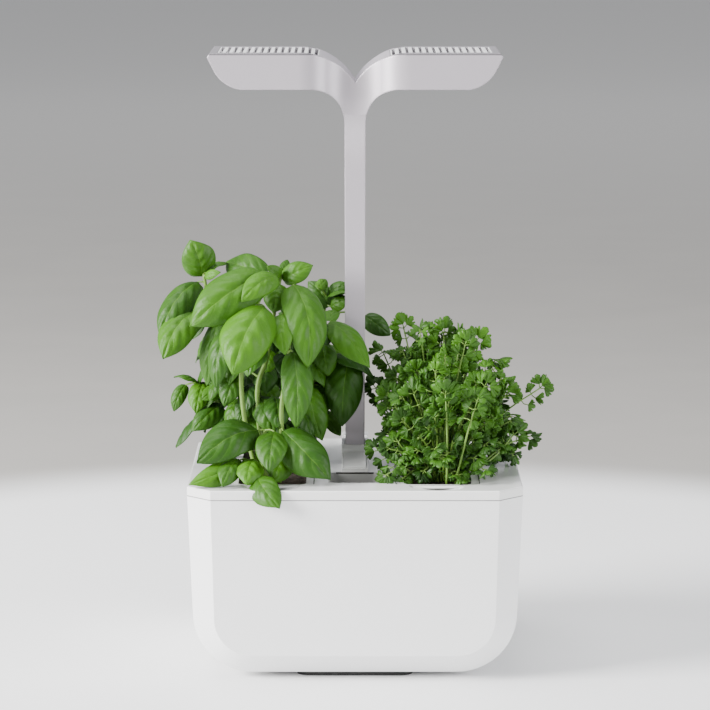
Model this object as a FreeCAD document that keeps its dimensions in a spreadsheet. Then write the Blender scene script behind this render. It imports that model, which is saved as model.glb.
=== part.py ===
import FreeCAD, Part
import math
import os
import re
import Sketcher

# Countertop hydroponic garden: a water tub, a lid tray with two planting cartridges,
# and a two-winged lamp arm that plugs into the tray.
# Millimetres; X to the right, front towards -Y, Z up; the origin is on the table
# under the middle of the base.

os.makedirs("parts", exist_ok=True)
doc = FreeCAD.newDocument("countertop_garden")
Vector = FreeCAD.Vector

# Driving dimensions

SIZES = {
    # tub and base pad
    "tray_width": 200,        # across the lid
    "tray_depth": 170,        # lid, front to back
    "corner_cut": 14.5,       # flat cut on the upright corners and under the front face
    "lid_height": 117.1,      # table to the lid's top
    "rim_height": 5.5,        # visible band of the lid
    "tub_wall": 2.4,
    "side_draft": 2.3,        # degrees, left and right walls
    "front_draft": 1.0,       # degrees, front and back walls
    "tub_corner": 36,         # round lower corners in the front view
    "pad_width": 70,
    "pad_length": 132,
    "pad_height": 3.5,
    "pad_round": 8,
    # lid tray
    "lid_wall": 2.2,
    "lid_round": 1.0,
    "skirt_drop": 6,          # tongue of the lid inside the tub
    "skirt_wall": 1.8,
    "lift_gap": 0.5,          # clearance of everything that lifts out by hand
    "overrun": 1,             # how far a cutting shape runs past what it cuts
    "slot_inner": 24.3,       # middle to the inner edge of a planting slot
    "slot_width": 50.6,
    "slot_length": 134,
    "slot_round": 4,
    "well_depth": 50,
    "well_wall": 2,
    "wick_hole_length": 34,
    "wick_hole_width": 12,
    "scoop_radius": 17.5,
    "scoop_dip": 3,
    "mouth_width": 30.4,      # water mouth in the bridge
    "mouth_back": 28,
    "mouth_front": 60,
    "mouth_round": 5,
    "mouth_drop": 9,          # depth of the mouth's own wall
    "guide_drop": 36,
    "guide_wall": 1.6,
    # lamp socket and ramp
    "stem_back": 12,          # stem's middle, behind the middle of the tray
    "socket_width": 16.4,
    "socket_wall": 2.2,
    "socket_rise": 11.6,
    "collar_front_rise": 9.4,
    "socket_drop": 18,        # depth of the socket under the lid's top
    "socket_floor": 2.5,
    "ramp_run": 27,
    "ramp_low": 2,
    "ramp_rise": 7,
    "key_thickness": 1.6,
    "key_margin": 1.2,
    "key_gap": 0.3,
    "key_travel": 0.8,
    "contact_height": 4,
    "contact_pin": 1.2,
    # control box and inlet
    "box_width": 38,
    "box_front": 28,
    "box_back": 60,
    "box_drop": 24,
    "box_wall": 1.8,
    "board_thickness": 1.6,
    "board_lift": 6,
    "relay_length": 12,
    "relay_height": 8,
    "post_radius": 2.4,
    "screw_radius": 1.2,
    "screw_head_radius": 2.3,
    "screw_head_height": 1.6,
    "pod_width": 17,
    "pod_length": 22,
    "pod_rise": 5,
    "pod_round": 2,
    "inlet_width": 9,
    "inlet_height": 8,
    "inlet_length": 14,
    "inlet_bore": 3.0,
    "inlet_bore_depth": 9,
    "inlet_pin": 1.0,
    "inlet_cap": 1.6,         # wall above the inlet
    "pin_root": 0.5,          # pin's end inside the inlet's body
    # planting cartridges
    "cartridge_wall": 1.5,
    "cartridge_foot": 0.8,    # feet hold it above the well's floor
    "foot_width": 6,
    "cover_thickness": 1.6,
    "cover_rim": 5,
    "cover_sink": 0.6,        # cover's top below the lid's top
    "wick_width": 22,
    "wick_thickness": 3,
    "wick_clear": 6,          # wick's end above the tub's floor
    # level float
    "float_width": 24,
    "float_length": 24,
    "float_height": 12,
    "float_low": 63.8,
    "float_round": 3,
    "float_stem": 2.0,
    "guide_bar_reach": 3,
    "guide_bar_height": 2,
    "flag_width": 20,
    "flag_thickness": 4,
    "flag_height": 8,
    "flag_sink": 13,          # flag's top below the lid's top when the tank is empty
    # lamp arm
    "lamp_height": 370.8,
    "lamp_span": 177.3,
    "wing_height": 21.7,
    "wing_depth": 70,
    "notch_drop": 18.5,
    "notch_depth": 42,
    "shoulder_round": 38.7,
    "shoulder_reach": 33,
    "underarm_round": 21,
    "wing_flat": 68.4,        # underside is flat to here
    "heel_reach": 84,
    "heel_drop": 11.5,
    "heel_round": 22,
    "tip_drop": 2.3,
    "tip_inset": 1.6,
    "stem_top_width": 12.8,
    "stem_foot_width": 11.7,
    "stem_depth": 18,
    "stem_top_depth": 21,
    "flare_drop": 70.8,       # lamp's top down to where the stem starts to widen
    "flare_round": 62,
    "flare_below": 2,
    "vent_start": 21.5,
    "vent_end": 82.5,
    "vent_margin": 7,
    "vent_thickness": 4,
    "vent_first": 23.4,
    "vent_pitch": 4.1,
    "vent_slot": 2.1,
    "vent_count": 15,
    "vent_rim": 2.5,
    "lens_start": 23,
    "lens_end": 66,
    "lens_margin": 9,
    "lens_thickness": 1.8,
    "snap_gap": 0.1,
    "sink_lift": 8.7,         # heat sink's underside above the wing's underside
    "sink_plate": 1.6,
    "sink_inset": 6,          # plate's outer end inside the wing's space
    "fin_height": 5,
    "fin_thickness": 1.2,
    "fin_pitch": 5,
    "fin_count": 10,
    "fin_first": 3,
    "fin_margin": 2,
    "led_size": 2.8,
    "led_height": 0.7,
    "led_end_margin": 5,
    "led_side_margin": 6,
    "led_rows": 4,
    "led_columns": 6,
    "wire_channel": 1.7,
    "wire_radius": 0.9,
    "channel_width": 6,
    "channel_depth": 9,
    "wire_drop": 22.8,        # lamp's top down to where the wires part
    "wire_landing": 3,        # wire's end inside a lamp board's edge
    "plug_height": 7,
    "arm_screw_reach": 73,
    "arm_screw_inner": 12.6,
    "arm_screw_drop": 16.7,
    "arm_screw_inner_drop": 13.4,
    "arm_screw_radius": 1.2,
    "arm_screw_head": 2.2,
    "arm_screw_length": 11,
    "arm_screw_bury": 7,
    # plants
    "leaf_thickness": 0.9,
    "leaf_cup": 0.16,         # rise of a leaf's sides, as a share of its width
    "parsley_leaf": 12,
    "stalk_radius": 1.5,
    "sprig_radius": 1.0,
}

# Heights and edges that follow from the sizes, used inside expressions

DERIVED = {
    "rim_line": "(lid_height - rim_height)",
    "slot_outer": "(slot_inner + slot_width)",
    "slot_middle": "(slot_inner + slot_width / 2)",
    "well_floor": "(lid_height - well_depth)",
    "cartridge_low": "(lid_height - well_depth + cartridge_foot)",
    "cover_top": "(lid_height - cover_sink)",
    "soil_top": "(lid_height - cover_sink - cover_thickness)",
    "socket_front": "(stem_back - stem_depth / 2 - lift_gap - socket_wall)",
    "socket_rear": "(stem_back + stem_depth / 2 + lift_gap + socket_wall)",
    "socket_low": "(lid_height - socket_drop)",
    "stem_foot": "(lid_height - socket_drop + socket_floor + contact_height)",
    "wing_low": "(lamp_height - wing_height)",
    "sink_low": "(lamp_height - wing_height + sink_lift)",
    "wing_front": "(stem_back - wing_depth / 2)",
    "wing_rear": "(stem_back + wing_depth / 2)",
    "tub_inner_floor": "(pad_height + tub_wall)",
    "flare_low": "(lamp_height - flare_drop)",
    "wire_split": "(lamp_height - wire_drop)",
}

sheet = doc.addObject("Spreadsheet::Sheet", "Sizes")
for row, (alias, number) in enumerate(SIZES.items(), 1):
    sheet.set(f"A{row}", alias)
    sheet.set(f"B{row}", str(number))
    sheet.setAlias(f"B{row}", alias)
doc.recompute()


def spelled(expression):
    """An expression in plain size names, written out with the sheet's cells."""
    text = str(expression)
    for name, meaning in DERIVED.items():
        text = re.sub(rf"\b{name}\b", meaning, text)
    return re.sub(r"[a-z_]+", lambda word: f"Sizes.{word[0]}" if word[0] in SIZES else word[0], text)


def value(expression):
    """The number an expression of sizes has now."""
    return float(sheet.evalExpression(spelled(expression).replace("Sizes.", "")))


def tie(thing, target, expression):
    thing.setExpression(target, spelled(expression))


# Sketches, bodies and simple solids

def new_body(name):
    return doc.addObject("PartDesign::Body", name)


def own_plane(body, role):
    return [part for part in body.Origin.OriginFeatures if part.Role == role][0]


def outline(body, role, shift, corners):
    """Closed outline on one of the body's planes. A corner is (across, up), or
    (across, up, radius, turn) where the side that follows is an arc."""
    sketch = body.newObject("Sketcher::SketchObject", f"{body.Name}_outline")
    sketch.AttachmentSupport = [(own_plane(body, role), "")]
    sketch.MapMode = "FlatFace"
    tie(sketch, "AttachmentOffset.Base.z", shift)
    places = [Vector(value(corner[0]), value(corner[1]), 0) for corner in corners]
    ends = []
    for index, corner in enumerate(corners):
        start, stop = places[index], places[(index + 1) % len(places)]
        if len(corner) == 2:
            sketch.addGeometry(Part.LineSegment(start, stop), False)
            ends.append((1, 2))
            continue
        radius, turn = value(corner[2]), corner[3]
        chord = stop - start
        side = Vector(chord.y, -chord.x, 0).normalize() * turn
        rise = radius - math.sqrt(max(radius ** 2 - (chord.Length / 2) ** 2, 0))
        sketch.addGeometry(Part.Arc(start, start + chord * 0.5 + side * rise, stop), False)
        ends.append((1, 2) if turn > 0 else (2, 1))
    for index in range(len(corners)):
        following = (index + 1) % len(corners)
        sketch.addConstraint(Sketcher.Constraint(
            "Coincident", index, ends[index][1], following, ends[following][0]))
    for index, corner in enumerate(corners):
        for kind, text in (("DistanceX", corner[0]), ("DistanceY", corner[1])):
            number = sketch.addConstraint(Sketcher.Constraint(
                kind, -1, 1, index, ends[index][0], value(text)))
            tie(sketch, f"Constraints[{number}]", text)
        if len(corner) == 4:
            number = sketch.addConstraint(Sketcher.Constraint("Radius", index, value(corner[2])))
            tie(sketch, f"Constraints[{number}]", corner[2])
    return sketch


def pad(body, sketch, length, both_ways=False):
    feature = body.newObject("PartDesign::Pad", f"{body.Name}_pad")
    feature.Profile = sketch
    feature.SideType = "Symmetric" if both_ways else "One side"
    tie(feature, "Length", length)
    doc.recompute()
    return feature


def dress(body, kind, feature, chosen, target, size):
    """Round or bevel the edges of a feature that a test chooses."""
    names = [f"Edge{number}" for number, edge in enumerate(feature.Shape.Edges, 1) if chosen(edge)]
    dressed = body.newObject(f"PartDesign::{kind}", f"{body.Name}_{kind.lower()}")
    dressed.Base = (feature, names)
    tie(dressed, target, size)
    doc.recompute()
    return dressed


def round_off(body, feature, chosen, radius):
    return dress(body, "Fillet", feature, chosen, "Radius", radius)


def bevel(body, feature, chosen, size):
    return dress(body, "Chamfer", feature, chosen, "Size", size)


def upright(edge):
    low, high = edge.BoundBox.ZMin, edge.BoundBox.ZMax
    return high - low > 0.1 and edge.BoundBox.XLength < 0.01 and edge.BoundBox.YLength < 0.01


def at_height(edge, height):
    return abs(edge.BoundBox.ZMin - height) < 0.01 and abs(edge.BoundBox.ZMax - height) < 0.01


def rectangle_corners(x_low, x_high, y_low, y_high):
    return [(x_low, y_low), (x_high, y_low), (x_high, y_high), (x_low, y_high)]


def block(name, x_range, y_range, z_range):
    """A plain box between pairs of expressions."""
    solid = doc.addObject("Part::Box", name)
    for side, axis, (low, high) in (
            ("Length", "x", x_range), ("Width", "y", y_range), ("Height", "z", z_range)):
        tie(solid, side, f"({high}) - ({low})")
        tie(solid, f"Placement.Base.{axis}", low)
    return solid


def round_block(name, x_range, y_range, z_range, radius):
    """A box with round upright edges."""
    body = new_body(name)
    base = pad(body, outline(body, "XY_Plane", z_range[0], rectangle_corners(*x_range, *y_range)),
               f"({z_range[1]}) - ({z_range[0]})")
    round_off(body, base, upright, radius)
    return body


def rod(name, radius, length, place, direction=(0, 0, 1)):
    """A round bar from a place, along a direction."""
    solid = doc.addObject("Part::Cylinder", name)
    tie(solid, "Radius", radius)
    tie(solid, "Height", length)
    solid.Placement.Rotation = FreeCAD.Rotation(Vector(0, 0, 1), Vector(*direction))
    for axis, text in zip("xyz", place):
        tie(solid, f"Placement.Base.{axis}", text)
    return solid


def joined(name, pieces):
    result = doc.addObject("Part::MultiFuse", name)
    result.Shapes = pieces
    return result


def without(name, base, tool):
    result = doc.addObject("Part::Cut", name)
    result.Base = base
    result.Tool = tool
    return result


def shared(name, pieces):
    result = doc.addObject("Part::MultiCommon", name)
    result.Shapes = pieces
    return result


def group(name, pieces):
    result = doc.addObject("Part::Compound", name)
    result.Links = pieces
    return result


def mirrored(name, source):
    result = doc.addObject("Part::Mirroring", name)
    result.Source = source
    result.Normal = Vector(1, 0, 0)
    return result


subparts = []


def finish(thing, label):
    """Mark an object as a finished sub-part; its label names its file."""
    thing.Label = label
    subparts.append(thing)
    return thing


def both_sides(thing, label):
    """The right-hand piece as modelled, and its mirror image on the left."""
    finish(thing, f"{label}_right")
    finish(mirrored(f"{label}_mirror", thing), f"{label}_left")


# Water tub: tapered box, round lower side corners, flat cut round the front and back faces

def tub_form(name, inset, low):
    """Front view padded front to back, a flat cut round both end faces, and their draft."""
    body = new_body(name)
    fall = f"(rim_line - {low})"
    top_wide = f"(tray_width / 2 - {inset})"
    low_wide = f"({top_wide} - {fall} * tan(side_draft))"
    rounding = f"(tub_corner - {inset})"
    run = f"({rounding} * tan((90 - side_draft) / 2))"
    side_x = f"({low_wide} + {run} * sin(side_draft))"
    side_z = f"{low} + {run} * cos(side_draft)"
    section = outline(body, "XZ_Plane", "0", [
        (f"-({low_wide} - {run})", low), (f"{low_wide} - {run}", low, rounding, 1),
        (side_x, side_z), (top_wide, "rim_line"), (f"-{top_wide}", "rim_line"),
        (f"-{side_x}", side_z, rounding, 1)])
    reach = value(f"tray_depth / 2 - {inset}") - 0.01
    rim = value("rim_line")

    def on_end_face(edge):
        box = edge.BoundBox
        return (box.YMin > reach or box.YMax < -reach) and not at_height(edge, rim)

    bevel(body, pad(body, section, f"tray_depth - 2 * {inset}", True), on_end_face,
          f"corner_cut - {inset} * (2 - sqrt(2))")
    wedge = new_body(f"{name}_wedge")
    top_deep = f"(tray_depth / 2 - {inset})"
    low_deep = f"({top_deep} - {fall} * tan(front_draft))"
    pad(wedge, outline(wedge, "YZ_Plane", "0", [
        (f"-{low_deep}", low), (low_deep, low), (top_deep, "rim_line"), (f"-{top_deep}", "rim_line")]),
        "tray_width + 2 * overrun", True)
    return shared(f"{name}_form", [body, wedge])


tub_outside = tub_form("tub_outside", "0", "pad_height")
tub_inside = tub_form("tub_inside", "tub_wall", "tub_inner_floor")
finish(without("tub_cut", tub_outside, tub_inside), "tub")

pad_body = new_body("pad_body")
pad_plate = pad(pad_body, outline(pad_body, "XY_Plane", "0", rectangle_corners(
    "-pad_width / 2", "pad_width / 2", "-pad_length / 2", "pad_length / 2")), "pad_height")
round_off(pad_body, pad_plate, upright, "pad_round")
finish(pad_body, "base_pad")


# Lid tray: shallow eight-sided lid, skirt, two hanging wells and the bridge between them

def eight_sided(name, inset, low, high):
    body = new_body(name)
    wide, deep = f"(tray_width / 2 - {inset})", f"(tray_depth / 2 - {inset})"
    cut = f"(corner_cut - {inset} * (2 - sqrt(2)))"
    corners = [
        (f"-{wide} + {cut}", f"-{deep}"), (f"{wide} - {cut}", f"-{deep}"),
        (wide, f"-{deep} + {cut}"), (wide, f"{deep} - {cut}"),
        (f"{wide} - {cut}", deep), (f"-{wide} + {cut}", deep),
        (f"-{wide}", f"{deep} - {cut}"), (f"-{wide}", f"-{deep} + {cut}")]
    pad(body, outline(body, "XY_Plane", low, corners), f"({high}) - ({low})")
    return body


lid = eight_sided("lid", "0", "rim_line", "lid_height")
lid_top = value("lid_height")
round_off(lid, lid.Tip, lambda edge: at_height(edge, lid_top), "lid_round")
under_lid = eight_sided("under_lid", "lid_wall", "rim_line", "lid_height - lid_wall")
lid_shell = without("lid_shell", lid, under_lid)

skirt_outset = "(tub_wall + lift_gap)"
skirt_outer = eight_sided("skirt_outer", skirt_outset, "rim_line - skirt_drop", "lid_height - lid_wall / 2")
skirt_inner = eight_sided("skirt_inner", f"({skirt_outset} + skirt_wall)", "rim_line - skirt_drop",
                          "lid_height - lid_wall")
skirt = without("skirt", skirt_outer, skirt_inner)

well_box = [round_block(f"well_{side}", (f"{sign} * slot_middle - slot_width / 2 - well_wall",
                                         f"{sign} * slot_middle + slot_width / 2 + well_wall"),
                        ("-slot_length / 2 - well_wall", "slot_length / 2 + well_wall"),
                        ("well_floor - well_wall", "lid_height - lid_wall / 2"), "slot_round + well_wall")
            for side, sign in (("left", -1), ("right", 1))]
well_hollow = [round_block(f"hollow_{side}", (f"{sign} * slot_middle - slot_width / 2",
                                              f"{sign} * slot_middle + slot_width / 2"),
                           ("-slot_length / 2", "slot_length / 2"),
                           ("well_floor", "lid_height + overrun"), "slot_round")
               for side, sign in (("left", -1), ("right", 1))]
wick_holes = [block(f"wick_hole_{side}", (f"{sign} * slot_middle - wick_hole_length / 2",
                                          f"{sign} * slot_middle + wick_hole_length / 2"),
                    ("-wick_hole_width / 2", "wick_hole_width / 2"),
                    ("well_floor - well_wall - overrun", "well_floor + overrun"))
              for side, sign in (("left", -1), ("right", 1))]

scoops = []
for side, sign in (("left", -1), ("right", 1)):
    scoop = doc.addObject("Part::Sphere", f"scoop_{side}")
    tie(scoop, "Radius", "(scoop_radius * scoop_radius + scoop_dip * scoop_dip) / (2 * scoop_dip)")
    tie(scoop, "Placement.Base.x", f"{sign} * slot_middle")
    tie(scoop, "Placement.Base.y", "-slot_length / 2")
    tie(scoop, "Placement.Base.z", "lid_height - scoop_dip"
        " + (scoop_radius * scoop_radius + scoop_dip * scoop_dip) / (2 * scoop_dip)")
    scoops.append(scoop)
scoop_backs = [block(f"scoop_back_{side}", (f"{sign} * slot_middle - scoop_radius",
                                            f"{sign} * slot_middle + scoop_radius"),
                     ("-slot_length / 2 - scoop_radius + overrun", "-slot_length / 2"),
                     ("lid_height - lid_wall - scoop_dip", "lid_height - lid_wall / 2"))
               for side, sign in (("left", -1), ("right", 1))]

mouth_wall = round_block("mouth_wall", ("-mouth_width / 2 - guide_wall", "mouth_width / 2 + guide_wall"),
                         ("-mouth_front - guide_wall", "-mouth_back + guide_wall"),
                         ("lid_height - mouth_drop", "lid_height - lid_wall / 2"), "mouth_round + guide_wall")
mouth_hole = round_block("mouth_hole", ("-mouth_width / 2", "mouth_width / 2"),
                         ("-mouth_front", "-mouth_back"),
                         ("lid_height - mouth_drop - overrun", "lid_height + overrun"), "mouth_round")

pod = new_body("pod")
pod_pad = pad(pod, outline(pod, "YZ_Plane", "0", [
    ("tray_depth / 2 - pod_length", "lid_height - lid_wall / 2"),
    ("tray_depth / 2 - lid_round", "lid_height - lid_wall / 2"),
    ("tray_depth / 2 - lid_round", "lid_height + pod_rise"),
    ("tray_depth / 2 - pod_length + pod_rise", "lid_height + pod_rise")]), "pod_width", True)
pod_top = value("lid_height + pod_rise")
round_off(pod, pod_pad, lambda edge: at_height(edge, pod_top), "pod_round")
inlet_space = block("inlet_space", ("-inlet_width / 2 - snap_gap", "inlet_width / 2 + snap_gap"),
                    ("tray_depth / 2 - inlet_length - snap_gap", "tray_depth / 2 + overrun"),
                    ("lid_height + pod_rise - inlet_cap - inlet_height - 2 * snap_gap", "lid_height + pod_rise - inlet_cap"))
socket_hole = block("socket_hole", ("-socket_width / 2 - snap_gap", "socket_width / 2 + snap_gap"),
                    ("socket_front - snap_gap", "socket_rear + snap_gap"),
                    ("lid_height - lid_wall - overrun", "lid_height + overrun"))

tray_solid = joined("tray_solid", [lid_shell, skirt, *well_box, *scoop_backs, mouth_wall, pod])
tray_cuts = joined("tray_cuts", [*well_hollow, *wick_holes, *scoops, mouth_hole, inlet_space, socket_hole])
finish(without("tray_cut", tray_solid, tray_cuts), "tray")


# Lamp socket: collar and ramp on the lid, pocket below it, with the contact block inside

collar = new_body("collar")
collar_pad = pad(collar, outline(collar, "YZ_Plane", "0", [
    ("socket_front", "socket_low"), ("socket_rear", "socket_low"),
    ("socket_rear", "lid_height + socket_rise"),
    ("socket_front + socket_wall", "lid_height + socket_rise"),
    ("socket_front", "lid_height + collar_front_rise")]), "socket_width", True)
ramp = new_body("ramp")
pad(ramp, outline(ramp, "YZ_Plane", "0", [
    ("socket_front - ramp_run", "lid_height"), ("socket_front", "lid_height"),
    ("socket_front", "lid_height + ramp_rise"),
    ("socket_front - ramp_run", "lid_height + ramp_low")]), "socket_width", True)
pocket = block("pocket", ("-stem_foot_width / 2 - lift_gap", "stem_foot_width / 2 + lift_gap"),
               ("stem_back - stem_depth / 2 - lift_gap", "stem_back + stem_depth / 2 + lift_gap"),
               ("socket_low + socket_floor", "lid_height + socket_rise + overrun"))
key_slope = "((ramp_rise - ramp_low) / ramp_run)"
key_seat = new_body("key_seat")
key_front, key_back = "(socket_front - ramp_run + key_margin)", "(socket_front - key_margin)"
key_drop = "(key_thickness / 2 + key_travel + key_gap)"
pad(key_seat, outline(key_seat, "YZ_Plane", "0", [
    (key_front, f"lid_height + ramp_low + key_margin * {key_slope} - {key_drop}"),
    (key_back, f"lid_height + ramp_rise - key_margin * {key_slope} - {key_drop}"),
    (key_back, "lid_height + ramp_rise + overrun"),
    (key_front, "lid_height + ramp_rise + overrun")]), "socket_width - 2 * key_margin", True)
finish(without("socket_cut", joined("socket_solid", [collar, ramp]),
               joined("socket_spaces", [pocket, key_seat])), "lamp_socket")

key_body = new_body("key_body")
key_low = f"lid_height + ramp_low + key_margin * {key_slope} - key_thickness / 2"
key_high = f"lid_height + ramp_rise - key_margin * {key_slope} - key_thickness / 2"
key_plate = pad(key_body, outline(key_body, "YZ_Plane", "0", [
    (f"{key_front} + key_gap", key_low), (f"{key_back} - key_gap", key_high),
    (f"{key_back} - key_gap", f"{key_high} + key_thickness"),
    (f"{key_front} + key_gap", f"{key_low} + key_thickness")]),
    "socket_width - 2 * key_margin - 2 * key_gap", True)
finish(key_body, "power_key")

contact_base = block("contact_base", ("-stem_foot_width / 2", "stem_foot_width / 2"),
                     ("stem_back - stem_depth / 2", "stem_back + stem_depth / 2"),
                     ("socket_low + socket_floor", "socket_low + socket_floor + contact_height - snap_gap"))
finish(contact_base, "contact_block")

finish(group("contact_pins_group", [
    rod(f"contact_pin_{index}", "contact_pin", "contact_height",
        ("0", f"stem_back + {shift} * (channel_depth / 2 - contact_pin - lift_gap)",
         "socket_low + socket_floor + contact_height - snap_gap"))
    for index, shift in enumerate((-1, 1))]), "contact_pins")


# Control box under the bridge, its board and screws, and the power inlet at the back

box_shell = block("box_shell", ("-box_width / 2", "box_width / 2"), ("box_front", "box_back"),
                  ("lid_height - lid_wall - box_drop", "lid_height - lid_wall"))
box_hollow = block("box_hollow", ("-box_width / 2 + box_wall", "box_width / 2 - box_wall"),
                   ("box_front + box_wall", "box_back - box_wall"),
                   ("lid_height - lid_wall - box_drop + box_wall", "lid_height - lid_wall + overrun"))
post_places = [(f"{sx} * (box_width / 2 - box_wall - post_radius)",
                f"(box_front + box_back) / 2 + {sy} * ((box_back - box_front) / 2 - box_wall - post_radius)")
               for sx in (-1, 1) for sy in (-1, 1)]
posts = [rod(f"post_{index}", "post_radius", "board_lift + box_wall / 2",
             (px, py, "lid_height - lid_wall - box_drop + box_wall / 2"))
         for index, (px, py) in enumerate(post_places)]
board_low = "(lid_height - lid_wall - box_drop + box_wall + board_lift)"
screw_bores = [rod(f"screw_bore_{index}", "screw_radius", "board_lift",
                   (px, py, f"{board_low} - board_lift + box_wall / 2"))
               for index, (px, py) in enumerate(post_places)]
box_open = joined("box_open", [without("box_cup", box_shell, box_hollow), *posts])
finish(without("box_bored", box_open, joined("screw_bores", screw_bores)), "control_box")

board_plate = block("board_plate", ("-box_width / 2 + box_wall + lift_gap", "box_width / 2 - box_wall - lift_gap"),
                    ("box_front + box_wall + lift_gap", "box_back - box_wall - lift_gap"),
                    (board_low, f"{board_low} + board_thickness"))
relay = block("relay", ("-box_width / 4", "box_width / 8"),
              ("(box_front + box_back - relay_length) / 2", "(box_front + box_back + relay_length) / 2"),
              (f"{board_low} + board_thickness / 2", f"{board_low} + board_thickness + relay_height"))
board_holes = joined("board_holes", [
    rod(f"board_hole_{index}", "screw_radius + snap_gap", "board_thickness + 2 * overrun", (px, py, f"{board_low} - overrun"))
    for index, (px, py) in enumerate(post_places)])
finish(without("board_cut", joined("board_solid", [board_plate, relay]), board_holes), "control_board")

screws = []
for index, (px, py) in enumerate(post_places):
    shank = rod(f"shank_{index}", "screw_radius - snap_gap / 2", "board_lift",
                (px, py, f"{board_low} + board_thickness + snap_gap / 2 - board_lift"))
    head = rod(f"head_{index}", "screw_head_radius", "screw_head_height",
               (px, py, f"{board_low} + board_thickness + snap_gap / 2"))
    screws.append(joined(f"board_screw_{index}", [shank, head]))
finish(group("board_screw_group", screws), "board_screws")

inlet_low = "(lid_height + pod_rise - inlet_cap - inlet_height - snap_gap)"
inlet_block = block("inlet_block", ("-inlet_width / 2", "inlet_width / 2"),
                    ("tray_depth / 2 - inlet_length", "tray_depth / 2 - lid_round"),
                    (inlet_low, f"{inlet_low} + inlet_height"))
inlet_hole = rod("inlet_hole", "inlet_bore", "inlet_bore_depth + overrun",
                 ("0", "tray_depth / 2 - lid_round - inlet_bore_depth", f"{inlet_low} + inlet_height / 2"), (0, 1, 0))
inlet_pin = rod("inlet_pin", "inlet_pin", "inlet_bore_depth",
                ("0", "tray_depth / 2 - lid_round - inlet_bore_depth - pin_root",
                 f"{inlet_low} + inlet_height / 2"), (0, 1, 0))
finish(joined("inlet", [without("inlet_cut", inlet_block, inlet_hole), inlet_pin]), "power_inlet")


# Level float: foam block under the mouth with a flag that shows in it, in a guide shaft

guide_outer = round_block("guide_outer", ("-mouth_width / 2 - guide_wall", "mouth_width / 2 + guide_wall"),
                          ("-mouth_front - guide_wall", "-mouth_back + guide_wall"),
                          ("lid_height - mouth_drop - guide_drop", "lid_height - mouth_drop"),
                          "mouth_round + guide_wall")
guide_inner = round_block("guide_inner", ("-mouth_width / 2", "mouth_width / 2"),
                          ("-mouth_front", "-mouth_back"),
                          ("lid_height - mouth_drop - guide_drop - overrun", "lid_height - mouth_drop + overrun"),
                          "mouth_round")
guide_bar = block("guide_bar", ("-mouth_width / 2 - guide_wall / 2", "mouth_width / 2 + guide_wall / 2"),
                  ("-mouth_back - flag_thickness - guide_bar_reach", "-mouth_back + guide_wall / 2"),
                  ("lid_height - mouth_drop - guide_drop / 2",
                   "lid_height - mouth_drop - guide_drop / 2 + guide_bar_height"))
float_y = "(-mouth_back - flag_thickness / 2 - lift_gap)"
guide_hole = rod("guide_hole", "float_stem + snap_gap", "guide_bar_height + 2 * overrun",
                 ("0", float_y, "lid_height - mouth_drop - guide_drop / 2 - overrun"))
guide_ring = without("guide_ring", guide_outer, guide_inner)
finish(without("guide_cut", joined("guide_solid", [guide_ring, guide_bar]), guide_hole), "float_guide")

float_block = round_block("float_block", ("-float_width / 2", "float_width / 2"),
                          ("-mouth_back - lift_gap - float_length", "-mouth_back - lift_gap"),
                          ("float_low", "float_low + float_height"), "float_round")
flag_top = "(lid_height - flag_sink)"
float_rod = rod("float_rod", "float_stem", f"{flag_top} - flag_height / 2 - float_low - float_height / 2",
                ("0", float_y, "float_low + float_height / 2"))
flag = block("flag", ("-flag_width / 2", "flag_width / 2"),
             ("-mouth_back - lift_gap - flag_thickness", "-mouth_back - lift_gap"),
             (f"{flag_top} - flag_height", flag_top))
finish(joined("float_solid", [float_block, float_rod, flag]), "level_float")


# Planting cartridges: shell with a felt wick, substrate and a cover frame

shell_x = ("slot_inner + lift_gap", "slot_outer - lift_gap")
shell_y = ("-slot_length / 2 + lift_gap", "slot_length / 2 - lift_gap")
cartridge_outer = round_block("cartridge_outer", shell_x, shell_y, ("cartridge_low", "soil_top"),
                              "slot_round - lift_gap")
inner_x = ("slot_inner + lift_gap + cartridge_wall", "slot_outer - lift_gap - cartridge_wall")
inner_y = ("-slot_length / 2 + lift_gap + cartridge_wall", "slot_length / 2 - lift_gap - cartridge_wall")
cartridge_inner = round_block("cartridge_inner", inner_x, inner_y,
                              ("cartridge_low + cartridge_wall", "soil_top + overrun"),
                              "slot_round - lift_gap - cartridge_wall")
wick_slit = block("wick_slit", ("slot_middle - wick_width / 2 - snap_gap", "slot_middle + wick_width / 2 + snap_gap"),
                  ("-wick_thickness / 2 - snap_gap", "wick_thickness / 2 + snap_gap"),
                  ("cartridge_low - overrun", "cartridge_low + cartridge_wall + overrun"))
feet = [block(f"foot_{index}", (f"slot_middle + {sx} * slot_width / 3 - foot_width / 2",
                                 f"slot_middle + {sx} * slot_width / 3 + foot_width / 2"),
              (f"{sy} * slot_length / 3 - foot_width / 2", f"{sy} * slot_length / 3 + foot_width / 2"),
              ("well_floor", "cartridge_low + cartridge_wall / 2"))
        for index, (sx, sy) in enumerate(((-1, -1), (1, -1), (-1, 1), (1, 1)))]
cartridge_cup = without("cartridge_cup", cartridge_outer, cartridge_inner)
both_sides(without("cartridge_cut", joined("cartridge_solid", [cartridge_cup, *feet]), wick_slit),
           "cartridge_shell")

wick_strip = block("wick_strip", ("slot_middle - wick_width / 2", "slot_middle + wick_width / 2"),
                   ("-wick_thickness / 2", "wick_thickness / 2"),
                   ("tub_inner_floor + wick_clear", "cartridge_low + cartridge_wall"))
both_sides(wick_strip, "wick")

soil = round_block("soil", (f"{inner_x[0]} + snap_gap", f"{inner_x[1]} - snap_gap"),
                   (f"{inner_y[0]} + snap_gap", f"{inner_y[1]} - snap_gap"),
                   ("cartridge_low + cartridge_wall", "soil_top"),
                   "slot_round - lift_gap - cartridge_wall - snap_gap")
both_sides(soil, "substrate")

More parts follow.
